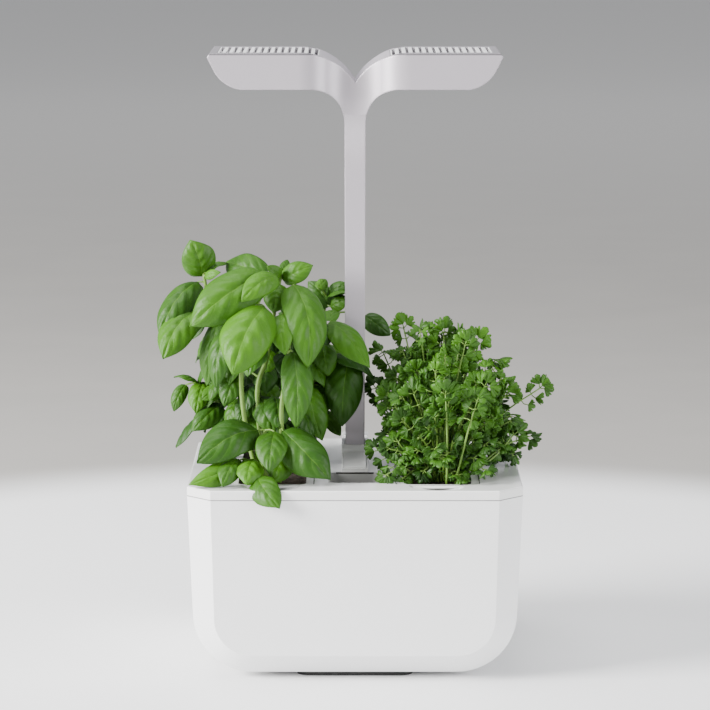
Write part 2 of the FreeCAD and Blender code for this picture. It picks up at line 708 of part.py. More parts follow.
cover_plate = round_block("cover_plate", shell_x, shell_y, ("soil_top", "cover_top"), "slot_round - lift_gap")
cover_window = round_block("cover_window", ("slot_inner + cover_rim", "slot_outer - cover_rim"),
                           ("-slot_length / 2 + cover_rim", "slot_length / 2 - cover_rim"),
                           ("soil_top - overrun", "cover_top + overrun"), "slot_round")
both_sides(without("cover_cut", cover_plate, cover_window), "cover")


# Lamp arm: the common of its front, side and plan shapes, split into two shells

front_view = new_body("front_view")
tip_reach = "(lamp_span / 2)"
right_side = [
    ("stem_foot_width / 2", "stem_foot"),
    ("stem_top_width / 2", "wing_low - underarm_round", "underarm_round", -1),
    ("stem_top_width / 2 + underarm_round", "wing_low"),
    ("wing_flat", "wing_low", "heel_round", 1),
    ("heel_reach", "lamp_height - heel_drop"),
    (tip_reach, "lamp_height - tip_drop"),
    (f"{tip_reach} - tip_inset", "lamp_height"),
    ("shoulder_reach", "lamp_height", "shoulder_round", 1)]
left_side = [
    ("0", "lamp_height - notch_drop", "shoulder_round", 1),
    ("-shoulder_reach", "lamp_height"),
    (f"-{tip_reach} + tip_inset", "lamp_height"),
    (f"-{tip_reach}", "lamp_height - tip_drop"),
    ("-heel_reach", "lamp_height - heel_drop", "heel_round", 1),
    ("-wing_flat", "wing_low"),
    ("-stem_top_width / 2 - underarm_round", "wing_low", "underarm_round", -1),
    ("-stem_top_width / 2", "wing_low - underarm_round"),
    ("-stem_foot_width / 2", "stem_foot")]
front_pad = pad(front_view, outline(front_view, "XZ_Plane", "-stem_back", right_side + left_side),
                "wing_depth", True)

side_view = new_body("side_view")
half_stem, half_neck, half_wing = "stem_depth / 2", "stem_top_depth / 2", "wing_depth / 2"
side_corners = [
    (f"stem_back - {half_stem}", "stem_foot"), (f"stem_back + {half_stem}", "stem_foot"),
    (f"stem_back + {half_neck}", "flare_low", "flare_round", -1),
    (f"stem_back + {half_wing}", "wing_low - flare_below"),
    (f"stem_back + {half_wing}", "lamp_height + overrun"), (f"stem_back - {half_wing}", "lamp_height + overrun"),
    (f"stem_back - {half_wing}", "wing_low - flare_below", "flare_round", -1),
    (f"stem_back - {half_neck}", "flare_low")]
pad(side_view, outline(side_view, "YZ_Plane", "0", side_corners), "lamp_span + 2 * overrun", True)

plan_view = new_body("plan_view")
half_reach = "(shoulder_reach / 2)"
half_step = "((wing_depth - notch_depth) / 4)"
waist_round = f"({half_reach} ^ 2 + {half_step} ^ 2) / (2 * {half_step})"
plan_corners = []
for sign in (-1, 1):
    edge, bend = f"stem_back + {sign} * {half_wing}", f"stem_back + {sign} * ({half_wing} - {half_step})"
    plan_corners += [
        (f"{sign} * ({tip_reach} + overrun)", edge), (f"{sign} * shoulder_reach", edge, waist_round, 1),
        (f"{sign} * {half_reach}", bend, waist_round, -1), (f"-{sign} * {half_reach}", bend, waist_round, 1),
        (f"-{sign} * shoulder_reach", edge), (f"-{sign} * ({tip_reach} + overrun)", edge)]
pad(plan_view, outline(plan_view, "XY_Plane", "stem_foot - overrun", plan_corners), "lamp_height - stem_foot + 2 * overrun")
arm_form = shared("arm_form", [front_view, side_view, plan_view])


def wing_space(name, x_range, margin, z_range, sign):
    low, high = x_range if sign > 0 else (f"-({x_range[1]})", f"-({x_range[0]})")
    return block(name, (low, high), (f"wing_front + {margin}", f"wing_rear - {margin}"), z_range)


arm_spaces = []
for side, sign in (("left", -1), ("right", 1)):
    arm_spaces.append(wing_space(f"upper_space_{side}", ("vent_start", "vent_end"), "vent_margin",
                                 ("sink_low", "lamp_height + overrun"), sign))
    arm_spaces.append(wing_space(f"lower_space_{side}", ("lens_start", "lens_end"), "lens_margin",
                                 ("wing_low - overrun", "sink_low + overrun"), sign))
arm_spaces.append(block("stem_channel", ("-channel_width / 2", "channel_width / 2"),
                        ("stem_back - channel_depth / 2", "stem_back + channel_depth / 2"),
                        ("stem_foot - overrun", "wire_split")))
wire_rise = value("sink_low - board_thickness - wire_split")
wire_run = value("lens_start + wire_landing")


def branch(name, radius, sign):
    """A slanted bar from the stem's channel up to a wing's board."""
    bar = rod(name, radius, f"sqrt((sink_low - board_thickness - wire_split) ^ 2 + (lens_start + wire_landing) ^ 2)",
              ("0", "stem_back", "wire_split"), (sign * wire_run, 0, wire_rise))
    return bar


arm_spaces += [branch(f"branch_space_{index}", "wire_channel", sign) for index, sign in enumerate((-1, 1))]
screw_spots = [(f"{sign} * {reach}", f"lamp_height - {drop}") for sign in (-1, 1)
               for reach, drop in (("arm_screw_reach", "arm_screw_drop"),
                                   ("arm_screw_inner", "arm_screw_inner_drop"))]
arm_spaces += [rod(f"counterbore_{index}", "arm_screw_head + lift_gap / 2", "wing_depth",
                   (px, "stem_back + arm_screw_bury", pz), (0, 1, 0))
               for index, (px, pz) in enumerate(screw_spots)]
arm_spaces += [rod(f"arm_bore_{index}", "arm_screw_radius + snap_gap", "arm_screw_length",
                   (px, "stem_back + arm_screw_bury - arm_screw_length + overrun", pz), (0, 1, 0))
               for index, (px, pz) in enumerate(screw_spots)]
arm_hollow = without("arm_hollow", arm_form, joined("arm_spaces", arm_spaces))
front_half = block("front_half", (f"-{tip_reach} - overrun", f"{tip_reach} + overrun"), ("wing_front - overrun", "stem_back"),
                   ("stem_foot - overrun", "lamp_height + overrun"))
rear_half = block("rear_half", (f"-{tip_reach} - overrun", f"{tip_reach} + overrun"), ("stem_back", "wing_rear + overrun"),
                  ("stem_foot - overrun", "lamp_height + overrun"))
finish(shared("arm_front", [arm_hollow, front_half]), "arm_front_shell")
finish(shared("arm_rear", [arm_hollow, rear_half]), "arm_rear_shell")

arm_screws = []
for index, (px, pz) in enumerate(screw_spots):
    head = rod(f"arm_screw_head_{index}", "arm_screw_head", "screw_head_height",
               (px, "stem_back + arm_screw_bury + snap_gap / 2", pz), (0, 1, 0))
    shank = rod(f"arm_screw_shank_{index}", "arm_screw_radius", "arm_screw_length - overrun",
                (px, "stem_back + arm_screw_bury + overrun - arm_screw_length + snap_gap", pz), (0, 1, 0))
    arm_screws.append(joined(f"arm_screw_{index}", [head, shank]))
finish(group("arm_screw_group", arm_screws), "arm_screws")


# Wing fittings, modelled on the right: vent cover, heat sink, board, light sources, lens

vent_blank = shared("vent_blank", [arm_form, wing_space(
    "vent_area", ("vent_start + snap_gap", "vent_end - snap_gap"), "(vent_margin + snap_gap)",
    ("lamp_height - vent_thickness", "lamp_height + overrun"), 1)])
vent_comb = new_body("vent_comb")
vent_slot = pad(vent_comb, outline(vent_comb, "XY_Plane", "lamp_height - vent_thickness - overrun", rectangle_corners(
    "vent_first - vent_slot / 2", "vent_first + vent_slot / 2",
    "wing_front + vent_margin + vent_rim", "wing_rear - vent_margin - vent_rim")), "vent_thickness + 2 * overrun")
vent_row = vent_comb.newObject("PartDesign::LinearPattern", "vent_row")
vent_row.Originals = [vent_slot]
vent_row.Direction = (own_plane(vent_comb, "X_Axis"), [""])
tie(vent_row, "Length", "vent_pitch * (vent_count - 1)")
tie(vent_row, "Occurrences", "vent_count")
vent_comb.Tip = vent_row
both_sides(without("vent_cut", vent_blank, vent_comb), "vent_cover")

sink = new_body("sink")
sink_x = ("vent_start + lift_gap", "vent_end - lift_gap - sink_inset")
sink_y = ("wing_front + vent_margin + lift_gap", "wing_rear - vent_margin - lift_gap")
sink_plate = pad(sink, outline(sink, "XY_Plane", "sink_low", rectangle_corners(*sink_x, *sink_y)), "sink_plate")
first_fin = f"{sink_x[0]} + fin_first"
fin = pad(sink, outline(sink, "XY_Plane", "sink_low + sink_plate", rectangle_corners(
    first_fin, f"{first_fin} + fin_thickness", f"{sink_y[0]} + fin_margin", f"{sink_y[1]} - fin_margin")), "fin_height")
fin_row = sink.newObject("PartDesign::LinearPattern", "fin_row")
fin_row.Originals = [fin]
fin_row.Direction = (own_plane(sink, "X_Axis"), [""])
tie(fin_row, "Length", "fin_pitch * (fin_count - 1)")
tie(fin_row, "Occurrences", "fin_count")
sink.Tip = fin_row
both_sides(sink, "heat_sink")

board_x = ("lens_start + lift_gap", "lens_end - lift_gap")
board_y = ("wing_front + lens_margin + lift_gap", "wing_rear - lens_margin - lift_gap")
both_sides(block("lamp_board", board_x, board_y, ("sink_low - board_thickness", "sink_low")), "lamp_board")

led_step_x = "((lens_end - lens_start - 2 * led_end_margin) / (led_columns - 1))"
led_step_y = "((wing_depth - 2 * (lens_margin + led_side_margin)) / (led_rows - 1))"
leds = []
for column in range(int(value("led_columns"))):
    for row in range(int(value("led_rows"))):
        led_x = f"lens_start + led_end_margin + {column} * {led_step_x}"
        led_y = f"wing_front + lens_margin + led_side_margin + {row} * {led_step_y}"
        leds.append(block(f"led_{column}_{row}", (f"{led_x} - led_size / 2", f"{led_x} + led_size / 2"),
                          (f"{led_y} - led_size / 2", f"{led_y} + led_size / 2"),
                          ("sink_low - board_thickness - led_height", "sink_low - board_thickness")))
both_sides(group("led_group", leds), "light_sources")

both_sides(block("lens_plate", ("lens_start + snap_gap", "lens_end - snap_gap"),
                 ("wing_front + lens_margin + snap_gap", "wing_rear - lens_margin - snap_gap"),
                 ("wing_low", "wing_low + lens_thickness")), "lens")

trunk = rod("trunk", "wire_radius", "wire_split - stem_foot - plug_height",
            ("0", "stem_back", "stem_foot + plug_height"))
wire_arms = []
for index, sign in enumerate((-1, 1)):
    wire_arms.append(branch(f"wire_{index}", "wire_radius", sign))
wire_trim = block("wire_trim", (f"-{tip_reach}", tip_reach), ("wing_front", "wing_rear"),
                  ("stem_foot", "sink_low - board_thickness - snap_gap"))
finish(shared("harness_trim", [joined("harness", [trunk, *wire_arms]), wire_trim]), "arm_harness")

plug_body = block("plug_body", ("-channel_width / 2 + snap_gap", "channel_width / 2 - snap_gap"),
                  ("stem_back - channel_depth / 2 + snap_gap", "stem_back + channel_depth / 2 - snap_gap"),
                  ("stem_foot + contact_height", "stem_foot + plug_height"))
finish(plug_body, "stem_plug")

doc.recompute()


# Plants: stems and leaves placed by hand from the lists below, in mm about the middle of the tray

seat_gap = value("snap_gap") * 2


def leaf_solid(root, tip, width, cup):
    """A pointed oval blade from root to tip, folded a little along its midrib."""
    root, tip = Vector(*root), Vector(*tip)
    along = tip - root
    across = along.cross(Vector(0, 0, 1))
    across = (across if across.Length > 0.01 else Vector(1, 0, 0)).normalize()
    above = across.cross(along).normalize()
    thick = value("leaf_thickness")
    stations = (0.16, 0.45, 0.75)
    halves = (0.34, 0.5, 0.33)
    sags = (0.03, 0.0, -0.06)

    def layer(lift):
        spine = [root + above * lift]
        left, right = [], []
        for part, half, sag in zip(stations, halves, sags):
            middle = root + along * part + above * (lift + sag * along.Length)
            spine.append(middle)
            left.append(middle + across * (half * width) + above * (cup * width))
            right.append(middle - across * (half * width) + above * (cup * width))
        spine.append(tip + above * (lift - 0.12 * along.Length))
        return spine, left, right

    (top_spine, top_left, top_right) = layer(thick / 2)
    (low_spine, low_left, low_right) = layer(-thick / 2)
    top_points = top_spine + top_left + top_right
    low_points = low_spine + low_left + low_right
    triangles = []
    for side_start, flip in ((5, False), (8, True)):
        rim = [0, side_start, side_start + 1, side_start + 2, 4]
        for index in range(4):
            pieces = []
            if index > 0:
                pieces.append((index, rim[index], rim[index + 1]))
            pieces.append((index, rim[index + 1], index + 1))
            for one, two, three in pieces:
                if len({one, two, three}) < 3:
                    continue
                triangles.append((one, three, two) if flip else (one, two, three))
    faces = []
    for one, two, three in triangles:
        faces.append((top_points[one], top_points[two], top_points[three]))
        faces.append((low_points[one], low_points[three], low_points[two]))
    loop = [0, 5, 6, 7, 4, 10, 9, 8]
    for index, here in enumerate(loop):
        ahead = loop[(index + 1) % len(loop)]
        faces.append((top_points[here], low_points[here], low_points[ahead]))
        faces.append((top_points[here], low_points[ahead], top_points[ahead]))
    shell = Part.makeShell([Part.Face(Part.makePolygon([*corners, corners[0]])) for corners in faces])
    solid = Part.makeSolid(shell)
    if solid.Volume < 0:
        solid.reverse()
    return solid


def stalk(points, radius):
    """Six-sided stem through a few points."""
    rings = []
    for index, point in enumerate(points):
        before, after = Vector(*points[max(index - 1, 0)]), Vector(*points[min(index + 1, len(points) - 1)])
        run = Vector(0, 0, 1) if index == 0 else (after - before).normalize()
        first = run.cross(Vector(0, 1, 0)).normalize()
        second = run.cross(first)
        corners = [Vector(*point) + (first * math.cos(turn) + second * math.sin(turn)) * radius
                   for turn in (math.radians(60 * step) for step in range(6))]
        rings.append(Part.makePolygon([*corners, corners[0]]))
    return Part.makeLoft(rings, True, True)


def plant(name, stems, leaves, radius):
    """Stems given as points (across, back, above the soil). Each leaf starts beside a point of a
    stem and runs towards its tip; it is (stem, point, tip, width)."""
    above_soil = [[(x, y, ground + z) for x, y, z in points] for points in stems]
    pieces = [stalk(points, radius) for points in above_soil]
    for stem, place, (x, y, z), width in leaves:
        points = above_soil[stem]
        joint, tip = Vector(*points[place]), Vector(x, y, ground + z)
        heading = (tip - joint).normalize()
        rising = max(heading.dot((joint - Vector(*points[place - 1])).normalize()), 0)
        beside = radius * (1 - rising) if place == len(points) - 1 else radius
        root = joint + heading * (beside + seat_gap)
        pieces.append(leaf_solid(root, tip, width, leaf_cup))
    thing = doc.addObject("Part::Feature", name)
    thing.Shape = Part.makeCompound(pieces)
    return finish(thing, name)


ground = value("soil_top")
leaf_cup = value("leaf_cup")

basil_stems = [
    [(-58, -38, 0), (-66, -36, 35), (-67, -33, 70), (-60, -32, 105), (-56, -30, 123)],
    [(-52, -30, 0), (-59, -26, 51), (-53, -22, 80), (-45, -14, 119)],
    [(-44, -40, 0), (-44, -36, 47), (-42, -30, 78), (-38, -26, 115)],
    [(-56, 0, 0), (-72, -6, 45), (-87, -8, 86), (-92, -9, 121)],
    [(-44, 8, 0), (-30, 0, 45), (-19, -8, 68), (-15, -6, 91)],
    [(-44, 36, 0), (-30, 32, 55), (-17, 29, 101)],
    [(-56, -52, 0), (-55, -54, 32)],
    [(-64, 40, 0), (-72, 46, 50), (-78, 50, 89)],
    [(-50, 46, 0), (-44, 54, 45), (-40, 58, 81)],
]
basil_leaves = [
    (0, 4, (-97, -52, 98), 26), (0, 4, (-76, 0, 127), 15), (0, 4, (-44, -54, 113), 13),
    (0, 3, (-74, -72, 74), 28), (0, 2, (-88, -58, 60), 15), (0, 2, (-52, -66, 52), 16),
    (0, 1, (-98, -46, 30), 18),
    (1, 3, (-27, -20, 128), 12), (1, 3, (-50, 10, 126), 12), (1, 2, (-30, -10, 66), 16),
    (2, 3, (-27, -56, 74), 22), (2, 3, (-20, -12, 108), 12), (2, 2, (-34, -66, 38), 19), (2, 1, (-24, -56, 28), 15),
    (3, 3, (-99, -14, 142), 20), (3, 3, (-118, -34, 90), 19), (3, 3, (-84, 20, 122), 14),
    (3, 2, (-114, -44, 74), 18), (3, 2, (-92, 24, 76), 18), (3, 1, (-104, -16, 36), 12), (3, 1, (-74, -34, 46), 10),
    (4, 3, (9, -36, 72), 17), (4, 3, (-26, 14, 104), 12), (4, 2, (-9, -24, 34), 22), (4, 1, (-22, -24, 22), 14),
    (5, 2, (-28, 48, 112), 13), (5, 2, (-8, 36, 112), 9), (5, 2, (5, 36, 90), 11), (5, 1, (-12, 48, 36), 13),
    (6, 1, (-90, -70, 20), 18), (6, 1, (-56, -84, 14), 13), (6, 1, (-18, -70, 14), 19),
    (7, 2, (-96, 60, 100), 16), (7, 2, (-62, 62, 96), 16), (7, 2, (-86, 26, 82), 16), (7, 1, (-92, 66, 44), 18),
    (8, 2, (-22, 66, 86), 16), (8, 2, (-46, 34, 92), 16), (8, 1, (-26, 70, 38), 15), (8, 1, (-60, 70, 40), 14),
]
plant("basil_plant", basil_stems, basil_leaves, value("stalk_radius"))

parsley_stems = [
    [(44, -20, 0), (38, -4, 48), (30, 12, 84)], [(48, -10, 0), (46, -5, 56), (43, -4, 77)],
    [(52, -22, 0), (54, -20, 62), (54, -16, 90)], [(57, -26, 0), (63, -24, 50), (68, -22, 78)],
    [(54, 0, 0), (64, 4, 44), (72, 8, 84)], [(60, 10, 0), (78, 12, 40), (90, 12, 62)],
    [(62, -14, 0), (86, -12, 34), (106, -10, 46)], [(60, -46, 0), (78, -40, 18), (94, -34, 24)],
    [(40, -44, 0), (26, -42, 12), (18, -40, 18)], [(42, -32, 0), (30, -30, 34), (22, -28, 48)],
    [(56, -38, 0), (70, -38, 38), (78, -38, 55)], [(52, -52, 0), (54, -56, 30), (54, -54, 52)],
    [(44, 20, 0), (30, 26, 38), (24, 28, 60)], [(48, 30, 0), (44, 40, 42), (40, 46, 60)],
    [(60, 26, 0), (72, 34, 36), (80, 38, 52)], [(36, -12, 0), (28, -13, 24), (24, -14, 34)],
]
parsley_reach, parsley_width = value("parsley_leaf"), value("parsley_leaf * 0.7")
parsley_leaves = []
for index, points in enumerate(parsley_stems):
    for place, turns in ((2, 3), (1, 2)):
        for step in range(turns):
            heading = math.radians(60 * index + 360 / turns * step + 90 * place)
            x, y, z = points[place]
            tip = (x + parsley_reach * math.cos(heading), y + parsley_reach * math.sin(heading), z + 6)
            parsley_leaves.append((index, place, tip, parsley_width))
plant("parsley_plant", parsley_stems, parsley_leaves, value("sprig_radius"))

doc.recompute()

# Check every object, then write the sub-parts

for thing in doc.Objects:
    if "Invalid" in thing.State or "Error" in thing.State:
        raise RuntimeError(f"{thing.Name} failed: {thing.State}")
for thing in subparts:
    if thing.Shape.isNull() or not thing.Shape.isValid():
        raise RuntimeError(f"{thing.Label} has no valid shape")
for thing in subparts:
    thing.Shape.exportStep(f"parts/{thing.Label}.step")
    print(f"{thing.Label}: {len(thing.Shape.Solids)} solid(s), {thing.Shape.Volume:.0f} mm3")
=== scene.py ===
import math

import bpy
import numpy as np
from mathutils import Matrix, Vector


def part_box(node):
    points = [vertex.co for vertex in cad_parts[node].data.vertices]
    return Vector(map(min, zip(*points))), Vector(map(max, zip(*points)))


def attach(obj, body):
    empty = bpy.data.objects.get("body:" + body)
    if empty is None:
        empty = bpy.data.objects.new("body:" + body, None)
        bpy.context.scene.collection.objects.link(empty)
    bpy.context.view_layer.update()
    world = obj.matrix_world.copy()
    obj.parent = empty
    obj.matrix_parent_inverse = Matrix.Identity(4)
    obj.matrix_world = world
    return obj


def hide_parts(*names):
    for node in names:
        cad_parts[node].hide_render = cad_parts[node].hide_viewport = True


# Countertop hydroponic garden: a white water tub with a lift-off tray, basil and parsley in
# two planting slots, and a winged lamp arm that stands in a socket between them.
# Metres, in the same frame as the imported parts.

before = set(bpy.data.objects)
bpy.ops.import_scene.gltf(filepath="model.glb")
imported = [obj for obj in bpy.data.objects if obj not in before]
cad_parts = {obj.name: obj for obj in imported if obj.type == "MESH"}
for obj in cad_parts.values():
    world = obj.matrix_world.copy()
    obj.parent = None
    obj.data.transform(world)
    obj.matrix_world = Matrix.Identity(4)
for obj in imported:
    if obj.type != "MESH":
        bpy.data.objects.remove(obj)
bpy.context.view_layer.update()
MM = 0.001


# Camera and studio: a long lens about two metres in front of the tub, looking down at it
# a little. The floor is one flat matt disc, pale round the object, greyer further off, and
# painted paler again far out as painted light where the lamps reach less; three soft lights and an even sky
# light it.

LENS, VIEW_END = 162.25, 20
CAMERA_BACK, CAMERA_HEIGHT = 1.938, 0.4958
CAMERA_TILT = math.radians(9.115)

camera = bpy.data.objects.new("camera", bpy.data.cameras.new("camera"))
camera.data.lens = LENS
camera.data.clip_end = VIEW_END
camera.location = (0, -CAMERA_BACK, CAMERA_HEIGHT)
camera.rotation_euler = (math.pi / 2 - CAMERA_TILT, 0, 0)
bpy.context.scene.collection.objects.link(camera)
bpy.context.scene.camera = camera


def mesh_object(name, points, faces, uv=None):
    """A new smooth mesh object from points and faces, with one UV pair for each point where given."""
    mesh = bpy.data.meshes.new(name)
    mesh.from_pydata(np.asarray(points, float).tolist(), [], [list(face) for face in faces])
    if uv is not None:
        layer = mesh.uv_layers.new(name="UVMap")
        corner_points = np.zeros(len(mesh.loops), int)
        mesh.loops.foreach_get("vertex_index", corner_points)
        layer.data.foreach_set("uv", np.asarray(uv, np.float32)[corner_points].ravel())
    mesh.polygons.foreach_set("use_smooth", [True] * len(mesh.polygons))
    thing = bpy.data.objects.new(name, mesh)
    bpy.context.scene.collection.objects.link(thing)
    return thing


def grid_faces(rows, columns, start=0, closed=False):
    """Four-sided faces of a grid of points laid out row by row, from the point numbered start on.
    Closed joins the last column to the first."""
    across = columns if closed else columns - 1
    row, column = np.meshgrid(np.arange(rows - 1), np.arange(across), indexing="ij")
    here = (row * columns + column).ravel()
    ahead = (row * columns + (column + 1) % columns).ravel()
    return np.stack([here, ahead, ahead + columns, here + columns], 1) + start


FLOOR_REACH, FLOOR_SIDES = 14.0, 96
around = np.linspace(0, 2 * math.pi, FLOOR_SIDES, endpoint=False)
rim = np.stack([FLOOR_REACH * np.cos(around), FLOOR_REACH * np.sin(around), 0 * around], 1)
room = mesh_object("floor", rim, [range(FLOOR_SIDES)])


class Wire:
    """A shader value. Sums, differences, products and powers of wires add the Math nodes they need."""

    def __init__(self, tree, socket):
        self.tree, self.socket = tree, socket

    def math(self, operation, *others):
        """A Math node on this wire, with the other values in its further inputs."""
        node = self.tree.nodes.new("ShaderNodeMath")
        node.operation = operation
        for entry, value in zip(node.inputs, (self, *others)):
            plug(self.tree, entry, value)
        return Wire(self.tree, node.outputs[0])

    def __add__(self, other):
        return self.math("ADD", other)

    def __radd__(self, other):
        return self.math("ADD", other)

    def __sub__(self, other):
        return self.math("SUBTRACT", other)

    def __rsub__(self, other):
        return (self * -1).math("ADD", other)

    def __mul__(self, other):
        return self.math("MULTIPLY", other)

    def __rmul__(self, other):
        return self.math("MULTIPLY", other)

    def __pow__(self, other):
        return self.math("POWER", other)

    def __abs__(self):
        return self.math("ABSOLUTE")


def plug(tree, entry, value):
    """Puts a wire, a colour or a number into an input socket."""
    if isinstance(value, Wire):
        tree.links.new(value.socket, entry)
    elif isinstance(value, tuple) and len(value) == 3 and entry.type == "RGBA":
        entry.default_value = (*value, 1)
    else:
        entry.default_value = value


class Finish:
    """One material: the Principled shader and the nodes that feed it."""

    def __init__(self, name, **fixed):
        self.material = bpy.data.materials.new(name)
        self.material.use_nodes = True
        self.tree = self.material.node_tree
        self.shader = self.tree.nodes["Principled BSDF"]
        for entry, value in fixed.items():
            self.set(entry.replace("_", " "), value)

    def set(self, entry, value):
        """Gives one of the shader's inputs a wire, a colour or a number."""
        plug(self.tree, self.shader.inputs[entry], value)

    def node(self, kind, settings=None, output=0, **inputs):
        """A node of a type, its settings set first, then its inputs; gives the wire of one output."""
        node = self.tree.nodes.new(f"ShaderNode{kind}")
        for key, value in (settings or {}).items():
            setattr(node, key, value)
        for entry, value in inputs.items():
            plug(self.tree, node.inputs[entry.replace("_", " ")], value)
        return Wire(self.tree, node.outputs[output])

    def place(self):
        """The point on the object, in metres."""
        return self.node("TexCoord", output="Object")

    def axis(self, letter):
        """One coordinate of the point on the object."""
        return self.node("SeparateXYZ", Vector=self.place(), output=letter)

    def noise(self, scale, detail=3.0):
        """Cloudy noise from 0 to 1, with scale grains to the metre."""
        return self.node("TexNoise", Vector=self.place(), Scale=scale, Detail=detail, output="Fac")

    def mix(self, share, first, second):
        """The first colour where the share is 0, and the second where it is 1."""
        node = self.tree.nodes.new("ShaderNodeMix")
        node.data_type = "RGBA"
        plug(self.tree, node.inputs["Factor"], share)
        for entry, value in zip((node.inputs[6], node.inputs[7]), (first, second)):
            plug(self.tree, entry, value)
        return Wire(self.tree, node.outputs[2])

    def bump(self, height, distance, strength=1.0, normal=None):
        """A normal tilted by a height, on top of another normal where one is given."""
        inputs = {"Height": height, "Distance": distance, "Strength": strength}
        if normal is not None:
            inputs["Normal"] = normal
        return self.node("Bump", **inputs)

    def step(self, value, low, high):
        """A smooth rise from 0 at low to 1 at high."""
        return self.node("MapRange", {"interpolation_type": "SMOOTHSTEP"}, output="Result",
                         Value=value, From_Min=low, From_Max=high)


def linear(red, green, blue):
    """A screen colour, 0 to 255, as the shader's linear colour."""
    return tuple((part / 255 / 12.92) if part < 10.3 else ((part / 255 + 0.055) / 1.055) ** 2.4
                 for part in (red, green, blue))


PALE_REACH, GREY_START, GREY_END, FAR_START = 0.50, 0.64, 1.2, 4.5
floor_finish = Finish("floor_paint", Roughness=0.6)
ground = floor_finish.node("VectorMath", {"operation": "LENGTH"}, output="Value",
                           Vector=floor_finish.place())
grey = floor_finish.mix(floor_finish.noise(9.0, 4.0), linear(158, 155, 151), linear(168, 165, 160))
near = floor_finish.mix(floor_finish.step(ground, PALE_REACH, GREY_START), linear(247, 247, 247), grey)
# Painted light: from GREY_END out to FAR_START the floor turns paler again, making up for the lamps' weaker
# light far off.
far_painted_light = floor_finish.step(ground, GREY_END, FAR_START)
floor_finish.set("Base Color", floor_finish.mix(far_painted_light, near, linear(238, 236, 232)))
room.data.materials.append(floor_finish.material)


def soft_light(name, place, target, width, depth, power, colour=(1, 1, 1)):
    """A soft box at a place, in metres, turned towards its target, with its power in watts."""
    lamp = bpy.data.objects.new(name, bpy.data.lights.new(name, "AREA"))
    lamp.data.shape = "RECTANGLE"
    lamp.data.size, lamp.data.size_y = width, depth
    lamp.data.energy = power
    lamp.data.color = colour
    lamp.location = place
    lamp.rotation_mode = "QUATERNION"
    lamp.rotation_quaternion = (Vector(target) - Vector(place)).to_track_quat("-Z", "Y")
    bpy.context.scene.collection.objects.link(lamp)


soft_light("key_light", (-2.1, -0.8, 1.0), (0, 0, 0.15), 1.1, 1.1, 205, (1, 0.995, 0.985))
soft_light("fill_light", (2.1, -1.0, 0.8), (0, 0, 0.15), 1.2, 1.2, 50, (0.98, 0.99, 1))
soft_light("top_light", (-0.3, 0.1, 2.0), (0, 0.05, 0), 1.4, 1.2, 40)

SKY_COLOUR, SKY_STRENGTH = (0.93, 0.95, 1, 1), 0.46
world = bpy.data.worlds.new("studio")
world.use_nodes = True
sky = world.node_tree.nodes["Background"]
sky.inputs["Color"].default_value = SKY_COLOUR
sky.inputs["Strength"].default_value = SKY_STRENGTH
bpy.context.scene.world = world


# Tub, tray, socket and key: white injection-moulded ABS. The tub is satin, and the tray that
# sits on it is polished and picks up the plants' reflections. The socket stands on the tray.

def wear(node_names, finish):
    """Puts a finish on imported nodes."""
    for name in node_names:
        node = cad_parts[name]
        node.data.materials.clear()
        node.data.materials.append(finish.material)


DARKEST_CLOUD = 0.965


def moulded_white(name, tint, roughness, coat, grain, edge):
    """White plastic: faint clouds in colour and gloss, a fine grain, and edges rounded by a radius."""
    finish = Finish(name, Coat_Roughness=0.08, IOR=1.5)
    finish.colour = finish.mix(finish.noise(28.0), tint, tuple(part * DARKEST_CLOUD for part in tint))
    finish.set("Base Color", finish.colour)
    finish.set("Roughness", finish.noise(60.0) * 0.08 + roughness)
    finish.set("Coat Weight", coat)
    rounded = finish.node("Bevel", {"samples": 4}, Radius=edge)
    finish.set("Normal", finish.bump(finish.noise(1900.0, 2.0), 0.00002, grain, rounded))
    return finish


# A fine line of painted shade darkens the tub just under where the tray meets it.
LID_TOP, LID_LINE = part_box("tray")[1].z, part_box("tub")[1].z
tub_white = moulded_white("tub_white", linear(240, 240, 240), 0.36, 0.1, 0.5, 0.0007)
painted_seam_shade = tub_white.step(tub_white.axis("Z"), LID_LINE - 0.0007, LID_LINE - 0.0003)
tub_white.set("Base Color", tub_white.mix(painted_seam_shade, tub_white.colour, linear(120, 120, 118)))
wear(["tub"], tub_white)

# The water mouth's walls get painted shade, and a painted dark overflow slot sits on its back wall under the
# lid.
MOUTH_HALF, MOUTH_MIDDLE, MOUTH_REACH, MOUTH_BACK = 0.016, -0.044, 0.017, -0.028
SLOT_HALF, SLOT_DROP, SLOT_RISE = 0.0118, 0.0052, 0.0006
tray_white = moulded_white("tray_white", linear(240, 240, 238), 0.14, 0.5, 0.15, 0.0005)
tray_x, tray_y, tray_z = (tray_white.axis(letter) for letter in "XYZ")
in_width = 1 - tray_white.step(abs(tray_x), MOUTH_HALF - 0.0002, MOUTH_HALF + 0.0002)
in_depth = 1 - tray_white.step(tray_z, LID_TOP - 0.0045, LID_TOP - 0.0005)
in_length = 1 - tray_white.step(abs(tray_y - MOUTH_MIDDLE), MOUTH_REACH - 0.0002, MOUTH_REACH + 0.0002)
mouth_shade = in_width * in_depth * in_length * 0.6
shaded = tray_white.mix(mouth_shade, tray_white.colour, linear(120, 118, 112))
# Painted shade: no slot is modelled here; a dark band stands for the shade inside the overflow slot.
slot_across = 1 - tray_white.step(abs(tray_x), SLOT_HALF - 0.0008, SLOT_HALF)
slot_back = 1 - tray_white.step(abs(tray_y - MOUTH_BACK), 0.0006, 0.0009)
slot_high = 1 - tray_white.step(abs(tray_z - LID_TOP + SLOT_DROP), SLOT_RISE, SLOT_RISE + 0.0004)
tray_white.set("Base Color", tray_white.mix(slot_across * slot_back * slot_high, shaded, linear(30, 28, 24)))
wear(["tray"], tray_white)

